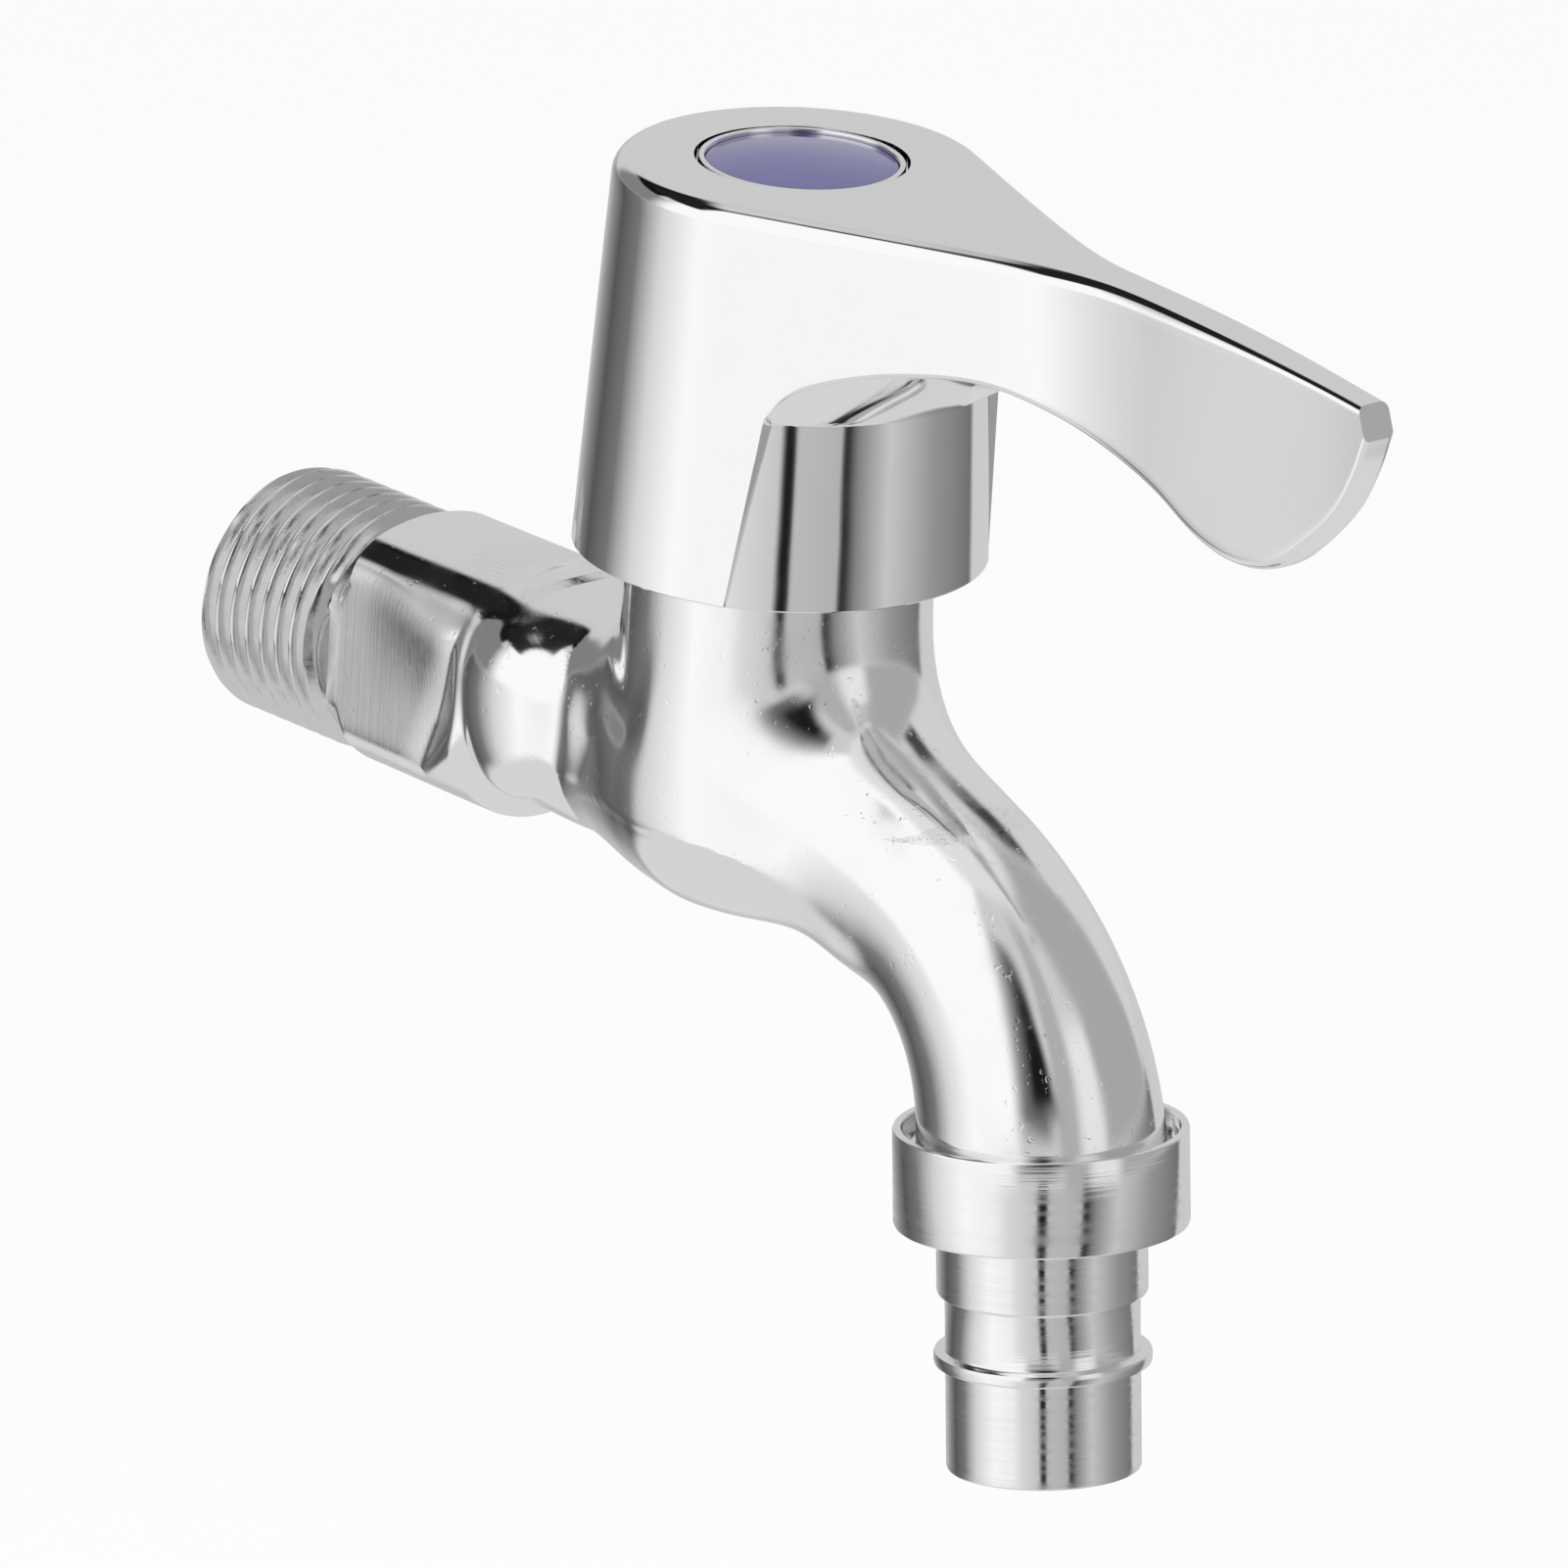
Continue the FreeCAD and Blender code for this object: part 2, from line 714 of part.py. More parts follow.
def ring_groove(height):
    """The four corners of a seal groove in the stem, from below."""
    return [
        (stem, height - groove_half),
        (groove_radius, height - groove_half),
        (groove_radius, height + groove_half),
        (stem, height + groove_half),
    ]


spindle = turned("spindle", [
    (zero, collar_base),
    (size["spindle_collar_radius"], collar_base),
    (size["spindle_collar_radius"], collar_roof),
    (stem, collar_roof),
    *ring_groove(size["lower_ring_height"]),
    *ring_groove(size["upper_ring_height"]),
    (stem, slot_clip),
    (size["clip_groove_radius"], slot_clip),
    (size["clip_groove_radius"], slot_clip + size["clip_thickness"] + size["running_gap"]),
    (stem, slot_clip + size["clip_thickness"] + size["running_gap"]),
    (stem, size["spline_bottom"] - bevel),
    (size["spline_tip_radius"], size["spline_bottom"]),
    (size["spline_tip_radius"], size["spindle_top"] - bevel),
    (size["spline_tip_radius"] - bevel, size["spindle_top"]),
    (size["tap_hole_radius"], size["spindle_top"]),
    (size["tap_hole_radius"], size["spindle_top"] - size["tap_hole_depth"]),
    (zero, size["spindle_top"] - size["tap_hole_depth"]),
])
tongue_sketch = new_sketch(spindle, "tongue_outline", "XZ_Plane")
upright_box(size["tongue_width"] / 2, tongue_base, collar_base)(tongue_sketch)
tongue = spindle.newObject("PartDesign::Pad", "tongue")
tongue.Profile = tongue_sketch
tongue.Midplane = True
set_size(tongue, "Length", size["tongue_length"])
spindle.Tip = tongue
doc.recompute()

SPLINE_TEETH = 20


def spline_gap(extra, root, tip):
    """A drawing function for the notch between two spline teeth, on the X axis."""
    half = math.pi / SPLINE_TEETH
    narrow = root * (half * 0.45) + extra
    wide = tip * (half * 1.05) + extra

    def draw(sketch):
        draw_outline(sketch, [(root, zero - narrow), (tip, zero - wide),
                              (tip, wide), (root, narrow)])
    return draw


notch_sketch = new_sketch(spindle, "spline_notch", "XY_Plane")
notch_sketch.AttachmentOffset = Placement(Vector(0, 0, mm("spline_bottom")), Rotation())
set_size(notch_sketch, "AttachmentOffset.Base.z", size["spline_bottom"])
spline_gap(zero, size["spline_root_radius"], size["spline_tip_radius"] + as_size(0.05))(notch_sketch)
notch = spindle.newObject("PartDesign::Pocket", "spline_notch_cut")
notch.Profile = notch_sketch
notch.Type = "Length"
notch.Reversed = True
set_size(notch, "Length", size["spindle_top"] - size["spline_bottom"] + as_size(0.5))
spindle.Tip = notch
doc.recompute()
around(spindle, notch, "spline", SPLINE_TEETH)


def rubber_ring(label, middle, cord, height):
    """A ring whose cord is drawn as an octagon with its flats up, down, in and out."""
    short = cord * math.tan(math.pi / 8)
    ring = turned(label, [
        (middle + cord, height - short),
        (middle + cord, height + short),
        (middle + short, height + cord),
        (middle - short, height + cord),
        (middle - cord, height + short),
        (middle - cord, height - short),
        (middle - short, height - cord),
        (middle + short, height - cord),
    ])
    on_valve_axis(ring)
    return keep(ring)


def packing_ring(label, height):
    """A rubber ring in its groove on the stem, as wide as the gland lets it."""
    middle = (groove_radius + gland_bore) / 2
    cord = (gland_bore - groove_radius) / 2 - size["soft_gap"]
    return rubber_ring(label, middle, cord, height)


packing_ring("spindle_o_ring_lower", size["lower_ring_height"])
packing_ring("spindle_o_ring_upper", size["upper_ring_height"])
half_cord = size["bonnet_ring_cord"] / 2
rubber_ring("bonnet_o_ring", size["chimney_bore"] + half_cord + size["fit_gap"], half_cord,
            size["chimney_top"] - half_cord)

glide = turned("glide_washer", [
    (stem + size["fit_gap"], collar_roof),
    (size["spindle_collar_radius"], collar_roof),
    (size["spindle_collar_radius"], collar_roof + size["glide_height"]),
    (stem + size["fit_gap"], collar_roof + size["glide_height"]),
])
clip_bore = size["clip_groove_radius"] + size["soft_gap"]
clip = turned("retaining_clip", [
    (clip_bore, slot_clip),
    (size["clip_radius"], slot_clip),
    (size["clip_radius"], slot_clip + size["clip_thickness"]),
    (clip_bore, slot_clip + size["clip_thickness"]),
])


def clip_mouth(sketch):
    """The clip's open side."""
    half = size["clip_groove_radius"] * 0.8
    wide = size["clip_radius"] * 1.2
    draw_outline(sketch, [(zero - half, zero), (half, zero), (half, wide), (zero - half, wide)])


pocket(clip, "clip_mouth", "XY_Plane", clip_mouth, None, True)

sleeve_bore = size["spline_tip_radius"] + size["running_gap"]
sleeve = turned("spline_sleeve", [
    (sleeve_bore, size["sleeve_bottom"]),
    (size["sleeve_radius"], size["sleeve_bottom"]),
    (size["sleeve_radius"], size["sleeve_top"]),
    (sleeve_bore, size["sleeve_top"]),
])

tooth_sketch = new_sketch(sleeve, "sleeve_tooth_outline", "XY_Plane")
tooth_sketch.AttachmentOffset = Placement(Vector(0, 0, mm("sleeve_bottom")), Rotation())
set_size(tooth_sketch, "AttachmentOffset.Base.z", size["sleeve_bottom"])
spline_gap(zero - size["running_gap"], size["spline_root_radius"] + size["running_gap"],
           size["spline_tip_radius"] + size["fit_gap"])(tooth_sketch)
tooth = sleeve.newObject("PartDesign::Pad", "sleeve_tooth")
tooth.Profile = tooth_sketch
set_size(tooth, "Length", size["sleeve_top"] - size["sleeve_bottom"])
sleeve.Tip = tooth
doc.recompute()
around(sleeve, tooth, "sleeve_splines", SPLINE_TEETH)

screw_seat = size["screw_seat_height"] + size["lock_washer_thickness"]
screw = turned("handle_screw", [
    (zero, screw_seat - size["screw_length"]),
    (size["screw_radius"], screw_seat - size["screw_length"]),
    (size["screw_radius"], screw_seat),
    (size["screw_head_radius"], screw_seat),
    (size["screw_head_radius"], screw_seat + size["screw_head_height"] * 0.6),
    (size["screw_head_radius"] * 0.6, screw_seat + size["screw_head_height"]),
    (zero, screw_seat + size["screw_head_height"]),
])
half_slot = as_size(0.5)
pocket(screw, "cross_recess_a", "XZ_Plane",
       upright_box(half_slot, screw_seat + as_size(1), screw_seat + as_size(4)),
       size["screw_head_radius"] * 0.6)
washer = turned("screw_lock_washer", [
    (size["screw_radius"] + size["fit_gap"], size["screw_seat_height"]),
    (size["lock_washer_radius"], size["screw_seat_height"]),
    (size["lock_washer_radius"], screw_seat),
    (size["screw_radius"] + size["fit_gap"], screw_seat),
])

recess_floor = size["handle_top"] - size["recess_depth"]
bezel_radius = size["recess_radius"] - size["bezel_gap"]
bezel_top = recess_floor + size["bezel_height"]
disc_edge = bezel_radius - size["bezel_lip"]
disc_base = bezel_top - size["disc_cap_height"]
bezel = turned("cap_bezel", [
    (zero, recess_floor),
    (bezel_radius - bevel, recess_floor),
    (bezel_radius, recess_floor + bevel),
    (bezel_radius, bezel_top - size["end_gap"]),
    (bezel_radius - size["end_gap"], bezel_top),
    (disc_edge, bezel_top),
    (disc_edge, disc_base),
    (zero, disc_base),
])

for item in (seal, backup, fixed, moving, housing, spindle, glide, clip, sleeve, screw, washer,
             bezel):
    on_valve_axis(item)
    keep(item)


def make_index_disc():
    """A round disc with a domed top, pressed into the bezel."""
    radius = disc_edge.value - mm("soft_gap")
    dome = mm("disc_cap_dome")
    ball = (radius ** 2 + dome ** 2) / (2 * dome)
    rim = bezel_top.value - 0.35
    base = disc_base.value
    slab = Part.makeCylinder(radius, rim - base + dome, Vector(0, 0, base))
    lens = Part.makeSphere(ball, Vector(0, 0, rim + dome - ball))
    return slab.common(lens)


shape_piece("index_disc", make_index_disc(), True)

# Lever handle: a drafted teardrop cut to the side view of the lever, standing on a round skirt.


def teardrop(height, radius):
    """The handle's outline seen from above, as a closed wire at one height."""
    angle = math.radians(mm("web_angle"))
    thin = mm("lever_tip_thickness") / 2
    touch = Vector(radius * math.cos(angle), -radius * math.sin(angle), height)
    run = (touch.x - thin) / math.tan(angle)
    corner = Vector(thin, touch.y - run, height)
    tangent = mm("web_blend")
    away = Vector(math.sin(angle), math.cos(angle), 0)
    curve_start = corner + away * tangent
    curve_end = Vector(thin, corner.y - tangent, height)
    bow = tangent / math.tan(angle / 2)
    centre = curve_end + Vector(bow, 0, 0)
    half_turn = angle / 2
    middle = centre + Vector(-bow * math.cos(half_turn), bow * math.sin(half_turn), 0)
    tip = Vector(thin, -1.06 * mm("lever_reach"), height)

    def other(point):
        return Vector(-point.x, point.y, point.z)

    edges = [
        Part.Arc(touch, Vector(0, radius, height), other(touch)),
        Part.LineSegment(other(touch), other(curve_start)),
        Part.Arc(other(curve_start), other(middle), other(curve_end)),
        Part.LineSegment(other(curve_end), other(tip)),
        Part.LineSegment(other(tip), tip),
        Part.LineSegment(tip, curve_end),
        Part.Arc(curve_end, middle, curve_start),
        Part.LineSegment(curve_start, touch),
    ]
    return Part.Wire([edge.toShape() for edge in edges])


def side_view():
    """The lever seen from the side, as a thick slab that trims the teardrop."""
    top = mm("handle_top")
    low = mm("skirt_bottom")
    back = 1.3 * mm("skirt_radius")
    keel = top - mm("paddle_depth")
    keel_reach = mm("paddle_centre_reach")
    arch = mm("arch_height")
    arch_reach = mm("arch_reach")
    foot = mm("arch_foot_reach")
    foot_top = arch - mm("arch_foot_drop")
    knee = foot + mm("arch_foot_slant")
    fall_reach = arch_reach + mm("arch_fall_run")
    fall = arch - mm("arch_fall_drop")
    waist = mm("lever_waist_reach")
    tip = mm("lever_reach")
    tip_top = top - mm("tip_drop")
    slant = mm("paddle_slant")
    reach_aside = 1.2 * mm("skirt_radius")

    def at(reach, height):
        return Vector(-reach_aside, -reach, height)

    edges = [
        Part.LineSegment(at(-back, low), at(foot, low)),
        Part.LineSegment(at(foot, low), at(knee, foot_top)),
        Part.Arc(at(knee, foot_top), at(0.63 * knee + 0.37 * arch_reach, arch - mm("arch_shoulder_drop")),
                 at(arch_reach, arch)),
        Part.Arc(at(arch_reach, arch), at(0.42 * arch_reach + 0.58 * fall_reach,
                                          0.61 * arch + 0.39 * fall), at(fall_reach, fall)),
        Part.Arc(at(fall_reach, fall), at((fall_reach + keel_reach) / 2, (fall + 2 * keel) / 3),
                 at(keel_reach, keel)),
        Part.Arc(at(keel_reach, keel), at(keel_reach + slant, keel + slant * 0.42),
                 at(tip, tip_top - mm("tip_depth"))),
        Part.LineSegment(at(tip, tip_top - mm("tip_depth")), at(tip, tip_top)),
        Part.Arc(at(tip, tip_top), at((tip + waist) / 2, top - mm("tip_drop") * 0.4),
                 at(waist, top)),
        Part.LineSegment(at(waist, top), at(-back, top)),
        Part.LineSegment(at(-back, top), at(-back, low)),
    ]
    face = Part.Face(Part.Wire([edge.toShape() for edge in edges]))
    return face.extrude(Vector(2 * reach_aside, 0, 0))


def handle_inside():
    """The hollow skirt, the sleeve's socket, the screw's well and the cap's recess."""
    low = mm("skirt_bottom")
    top = mm("handle_top")
    floor = low + mm("skirt_hollow")
    hollow = Part.makeCylinder(mm("skirt_radius") - mm("skirt_wall"), mm("skirt_hollow"),
                               Vector(0, 0, low))
    socket = Part.makeCylinder(mm("sleeve_radius") + mm("soft_gap"), mm("sleeve_top") - floor,
                               Vector(0, 0, floor))
    hole = Part.makeCylinder(mm("screw_hole_radius"), top - floor, Vector(0, 0, floor))
    well = Part.makeCylinder(mm("screw_well_radius"), top - mm("screw_seat_height"),
                             Vector(0, 0, mm("screw_seat_height")))
    recess = Part.makeCylinder(mm("recess_radius"), mm("recess_depth") + 1,
                               Vector(0, 0, top - mm("recess_depth")))
    return hollow.multiFuse([socket, hole, well, recess])


def on_top_rim(edge):
    """Whether an edge lies on the rim of the handle's top, side to side or at the tip."""
    box = edge.BoundBox
    crosswise = box.YLength < 0.1 and box.YMin > -0.98 * mm("lever_reach")
    return box.ZMin > mm("handle_top") - mm("tip_drop") - 0.1 and not crosswise


def make_handle():
    """The cast lever in one piece."""
    low = mm("skirt_bottom")
    top = mm("handle_top")
    wide = mm("skirt_radius")
    narrow = mm("skirt_top_radius")
    solid = Part.makeLoft([teardrop(low, wide), teardrop(top, narrow)], True, True)
    lever = solid.common(side_view())
    rim = [edge for edge in lever.Edges if on_top_rim(edge)]
    lever = lever.makeFillet(mm("top_rounding"), rim)
    skirt_height = 1.04 * (mm("arch_height") - low)
    skirt_top = wide + (narrow - wide) * skirt_height / (top - low)
    skirt = Part.makeCone(wide, skirt_top, skirt_height, Vector(0, 0, low))
    whole = lever.fuse(skirt).removeSplitter()
    return whole.cut(handle_inside())


shape_piece("handle", make_handle(), True)

doc.recompute()
for item in doc.Objects:
    if "Invalid" in item.State or "Error" in item.State:
        raise RuntimeError(item.Name + " failed")
os.makedirs("parts", exist_ok=True)
total = 0
for item in pieces:
    shape = item.Shape
    if shape.isNull() or not shape.isValid():
        raise RuntimeError(item.Label + " is not sound")
    shape.exportStep("parts/" + item.Label + ".step")
    total += shape.Volume
    print("%-22s %8.1f mm3  solids %d" % (item.Label, shape.Volume, len(shape.Solids)))
print("pieces", len(pieces), "volume", round(total, 1))
print("collar top", collar_top, "outlet", outlet_down)
print("nozzle end", collar_top + outlet_down * mm("nozzle_end"))
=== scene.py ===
import math

import bmesh
import bpy
import numpy as np
from mathutils import Euler, Matrix, Vector


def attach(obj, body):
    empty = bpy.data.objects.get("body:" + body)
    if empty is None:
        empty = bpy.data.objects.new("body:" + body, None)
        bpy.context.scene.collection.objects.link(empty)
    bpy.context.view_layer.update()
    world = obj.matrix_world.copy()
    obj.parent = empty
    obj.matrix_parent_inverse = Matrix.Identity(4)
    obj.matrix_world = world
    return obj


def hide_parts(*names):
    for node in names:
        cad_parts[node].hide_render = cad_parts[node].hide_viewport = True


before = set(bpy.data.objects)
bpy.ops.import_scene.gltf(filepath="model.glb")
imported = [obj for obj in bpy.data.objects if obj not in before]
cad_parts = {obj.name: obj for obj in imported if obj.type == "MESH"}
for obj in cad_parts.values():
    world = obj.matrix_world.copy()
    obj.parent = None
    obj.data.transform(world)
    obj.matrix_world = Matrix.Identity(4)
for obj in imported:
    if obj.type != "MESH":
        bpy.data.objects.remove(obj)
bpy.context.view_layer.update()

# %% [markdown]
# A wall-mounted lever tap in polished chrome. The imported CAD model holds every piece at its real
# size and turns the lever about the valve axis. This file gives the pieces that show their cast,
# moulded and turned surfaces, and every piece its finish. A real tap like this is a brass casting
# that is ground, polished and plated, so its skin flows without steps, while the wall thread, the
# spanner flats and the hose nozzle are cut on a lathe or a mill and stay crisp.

MM = 0.001
VALVE = 44.4
print("the valve axis stands", VALVE, "mm in front of the shoulder of the wall thread")

# %% [markdown]
# Every new piece is one or more grids: rows of points worked out as whole arrays, joined by
# four-sided faces. A grid may be closed round each row, and its first and last rows may be
# closed with a fan of faces, so each piece is watertight, as a solid casting is.


# %% A grid of points becomes a mesh
def grid_faces(rows, columns, first=0, wrap=True):
    """Corner numbers of the quads of a grid: (i, j), (i, j+1), (i+1, j+1), (i+1, j)."""
    last = columns if wrap else columns - 1
    i, j = np.meshgrid(np.arange(rows - 1), np.arange(last), indexing="ij")
    right = (j + 1) % columns
    quads = np.stack([i * columns + j, i * columns + right,
                      (i + 1) * columns + right, (i + 1) * columns + j], axis=-1)
    return quads.reshape(-1, 4) + first


def piece_from(name, points, faces, caps=(), crease=35.0, weld=False):
    """A Blender object from points in millimetres, quads and closing rings. When weld is set, points
    that fall together are welded. Every face turns its front outwards, and the shading is smooth
    except along edges where the skin turns by more than the crease angle."""
    mesh = bpy.data.meshes.new(name)
    corners = [list(face) for face in caps]
    mesh.from_pydata(points * MM, [], faces.tolist() + corners)
    mesh.update()
    work = bmesh.new()
    work.from_mesh(mesh)
    if weld:
        bmesh.ops.remove_doubles(work, verts=work.verts, dist=2e-6)
        bmesh.ops.dissolve_degenerate(work, edges=work.edges, dist=1e-6)
    bmesh.ops.recalc_face_normals(work, faces=work.faces)
    torn = sum(len(edge.link_faces) != 2 for edge in work.edges)
    work.to_mesh(mesh)
    work.free()
    mesh.polygons.foreach_set("use_smooth", np.ones(len(mesh.polygons), dtype=bool))
    mesh.set_sharp_from_angle(angle=math.radians(crease))
    thing = bpy.data.objects.new(name, mesh)
    bpy.context.collection.objects.link(thing)
    print(name, len(mesh.vertices), "points,", len(mesh.polygons), "faces, torn edges", torn)
    return thing


# %% [markdown]
# The casting is a bent tube with a round chimney on top and a barrel at the wall end. Its
# centreline runs level from the wall, leans over in a wide arc past the valve, and then turns
# down in a tighter one. Any point of space can be written as a place along that line and a
# height above it, and the skin is then a question of how thick the tube is at that place.

# %% The centreline of the water way
GENTLE = dict(reach=4.63, height=-45.0, radius=45.0)
TIGHT = dict(reach=13.4, height=-23.3, radius=21.6)
JOIN = math.radians(22.0)
OUTLET = math.radians(84.4)
GENTLE_LENGTH = GENTLE["radius"] * JOIN
BEND_LENGTH = TIGHT["radius"] * (OUTLET - JOIN)


def place_on_path(s):
    """Reach in front of the valve axis, height and lean of the centreline at a length s.
    Level line for s < reach of the first arc, then radius times sine and cosine of the lean."""
    lean1 = np.clip((s - GENTLE["reach"]) / GENTLE["radius"], 0, JOIN)
    past = s - GENTLE["reach"] - GENTLE_LENGTH
    lean2 = np.clip(JOIN + past / TIGHT["radius"], JOIN, OUTLET)
    tail = np.maximum(past - BEND_LENGTH, 0)
    reach1 = np.where(s < GENTLE["reach"], s, GENTLE["reach"] + GENTLE["radius"] * np.sin(lean1))
    height1 = -GENTLE["radius"] * (1 - np.cos(lean1))
    reach2 = TIGHT["reach"] + TIGHT["radius"] * np.sin(lean2) + tail * math.cos(OUTLET)
    height2 = TIGHT["height"] + TIGHT["radius"] * np.cos(lean2) - tail * math.sin(OUTLET)
    on_bend = past > 0
    reach = np.where(on_bend, reach2, reach1)
    height = np.where(on_bend, height2, height1)
    return reach, height, np.where(on_bend, lean2, lean1)


def path_coordinates(reach, height):
    """Length along the centreline and height over it of points in the plane of symmetry.
    On an arc: the angle round its centre, and the distance from its centre less its radius."""
    r1, h1 = reach - GENTLE["reach"], height - GENTLE["height"]
    r2, h2 = reach - TIGHT["reach"], height - TIGHT["height"]
    lean1 = np.arctan2(r1, h1)
    lean2 = np.arctan2(r2, h2)
    lean2 = np.where(lean2 < -math.pi / 2, lean2 + 2 * math.pi, lean2)
    level = reach < GENTLE["reach"]
    gentle = ~level & (lean1 < JOIN)
    tail = ~level & ~gentle & (lean2 > OUTLET)
    start = GENTLE["reach"] + GENTLE_LENGTH
    s = np.where(level, reach, GENTLE["reach"] + GENTLE["radius"] * lean1)
    over = np.where(level, height, np.hypot(r1, h1) - GENTLE["radius"])
    bend = ~level & ~gentle
    s = np.where(bend, start + TIGHT["radius"] * (lean2 - JOIN), s)
    over = np.where(bend, np.hypot(r2, h2) - TIGHT["radius"], over)
    along = r2 * math.cos(OUTLET) - h2 * math.sin(OUTLET)
    out = r2 * math.sin(OUTLET) + h2 * math.cos(OUTLET) - TIGHT["radius"]
    s = np.where(tail, start + BEND_LENGTH + along, s)
    over = np.where(tail, out, over)
    return s, over


SPOUT_END = GENTLE["reach"] + GENTLE_LENGTH + BEND_LENGTH
print("length of the centreline from the valve to the spout's end", round(SPOUT_END, 2), "mm")

# %% [markdown]
# Two forms of a casting never meet in a sharp line: the pattern maker runs a fillet along the
# join and the polisher softens it further. A smooth minimum does the same with distances. Where
# two forms are nearly as close as each other, it takes off a little, and that fills the corner.


# %% Tools that join and grade forms
def smooth_min(a, b, blend):
    """The lesser of two distances, less blend / 6 times the cube of how evenly they match."""
    even = np.maximum(blend - np.abs(a - b), 0) / blend
    return np.minimum(a, b) - even ** 3 * blend / 6


def smooth_step(x):
    """0 below 0, 1 above 1, and x squared times (3 - 2x) between."""
    x = np.clip(x, 0, 1)
    return x * x * (3 - 2 * x)


def hill(x, middle, width):
    """A bell of height 1: e to the power of minus the square of (x - middle) / width."""
    return np.exp(-((x - middle) / width) ** 2)


print("1 mm from two walls, a fillet of 3 leaves", round(smooth_min(1.0, 1.0, 3.0), 2), "mm")

# %% [markdown]
# The tube is slim at the waist behind the chimney, full in the chamber under it, slim again in
# the neck, and a little wider at the spout's end. Under the chamber its round is drawn in. A loft
# through sections would show a band at each section, so the thickness is one smooth function of
# the length along the line.

# %% How thick the tube is
WAIST = -15.4
WAIST_RADIUS, CHAMBER_RADIUS, NECK_RADIUS = 8.9, 12.4, 9.15


def tube_radius(s):
    """From the chamber back to the waist the radius falls along a nearly straight slope; in
    front it is a hill on the neck's radius, and a smooth step widens it to the spout's end."""
    way = np.clip(s / WAIST, 0, 1)
    back = CHAMBER_RADIUS - (CHAMBER_RADIUS - WAIST_RADIUS) * way ** 2 * (1.9 - 0.9 * way)
    fade = np.exp(-(np.maximum(s, 0) / 12.0) ** 2.2)
    front = NECK_RADIUS + (CHAMBER_RADIUS - NECK_RADIUS) * fade
    return np.where(s < 0, back, front) + 1.5 * smooth_step((s - 24.0) / 34.0)


def belly(s, across, over):
    """How much the underside is drawn in: a deep hill under the chamber less a low one on each
    side of it, both scaled by the sine of the angle under the centreline to the power 1.5."""
    down = np.clip(-over / np.maximum(across, 1e-6), 0, 1) ** 1.5
    beside = 0.7 * hill(s, 18.0, 5.0) + 0.4 * hill(s, -16.0, 5.0)
    return down * (3.6 * hill(s, 1.5, 10.0) - beside)


print("radius of the tube at waist, chamber, neck and spout's end:",
      tube_radius(np.array([WAIST, 0.0, 22.0, SPOUT_END])).round(2), "mm")

# %% [markdown]
# The rest of the casting is a chimney that stands on a ball round the valve, a barrel at the wall
# end, and a low knob on each side between them. The spanner flats are milled after casting, and
# the cutter runs out in a slope towards the knobs. Each form is a distance of its own, so each
# can be moved or made larger without touching the others.

# %% The casting as a distance
CHIMNEY_RADIUS, CHIMNEY_TOP, BALL_HEIGHT = 12.65, 22.4, 0.8
BARREL_RADIUS, BARREL_END, BARREL_EDGE = 10.7, -18.6, 1.6
FLAT, FLAT_END, CUTTER_STOP = 8.5, 14.3, 19.5
KNOB = dict(across=8.2, reach=-21.6, height=2.1, width=2.9, length=5.8, up=6.0, down=8.0)


def tube_form(x, reach, z):
    """Distance from the tube and its knobs. Behind the chimney the top of the tube is higher and
    flatter: its round is a power of 3.6 in place of 2, stretched upwards by a sixth. A knob is
    an egg: the squares of its three distances over its half sizes add up to 1."""
    s, over = path_coordinates(reach, z)
    behind = smooth_step((-reach - 3.0) / 8.0) * smooth_step((over + 3.0) / 10.0)
    power = 2.0 + 1.6 * behind
    raised = over * (1 - 0.14 * behind)
    across = (np.abs(x) ** power + np.abs(raised) ** power) ** (1 / power)
    tube = across - tube_radius(s) + belly(s, across, over)
    tall = np.where(z > KNOB["height"], KNOB["up"], KNOB["down"])
    knob = np.sqrt(((np.abs(x) - KNOB["across"]) / KNOB["width"]) ** 2
                   + ((reach - KNOB["reach"]) / KNOB["length"]) ** 2
                   + ((z - KNOB["height"]) / tall) ** 2)
    return smooth_min(tube, (knob - 1) * KNOB["width"], 2.2)


def stem_form(x, reach, z):
    """Distance from the chimney and from the ball at its foot, which is flatter below."""
    chimney = np.maximum(np.maximum(np.hypot(x, reach) - CHIMNEY_RADIUS, z - CHIMNEY_TOP), -z)
    low = (z - BALL_HEIGHT) * np.where(z > BALL_HEIGHT, 1.0, 1.2)
    ball = np.sqrt(x ** 2 + reach ** 2 + low ** 2) - CHIMNEY_RADIUS
    return np.minimum(chimney, ball)


def barrel_form(x, y, z):
    """Distance from the barrel, whose edge is round: past both its wall and its end, the
    distance is the hypotenuse of the two, less the radius of the edge."""
    wall = np.hypot(x, z) - (BARREL_RADIUS + 0.15 * smooth_step((-y - 2.2) / 14.0)) + BARREL_EDGE
    end = BARREL_END - y + BARREL_EDGE
    past_both = np.hypot(np.maximum(wall, 0), np.maximum(end, 0))
    return np.minimum(np.maximum(wall, end), 0) + past_both - BARREL_EDGE


# %% The milled flats and the whole casting
def spanner_flat(x, y, z):
    """Distance outside the milled flat. The flat is level, swells a little towards its upper
    inner corner, dips in its last stretch, and ends in a slope where the cutter left."""
    last = FLAT_END + 0.37 * np.clip(z, -8, 6)
    swell = 1.3 * smooth_step((z + 3.0) / 10.0) * smooth_step((-y - 4.0) / 13.0)
    dip = 0.05 * np.clip(-y - last + 2.6, 0, 2.6) ** 2
    return np.abs(x) - FLAT - swell + dip - 0.6 * np.maximum(-y - last, 0)


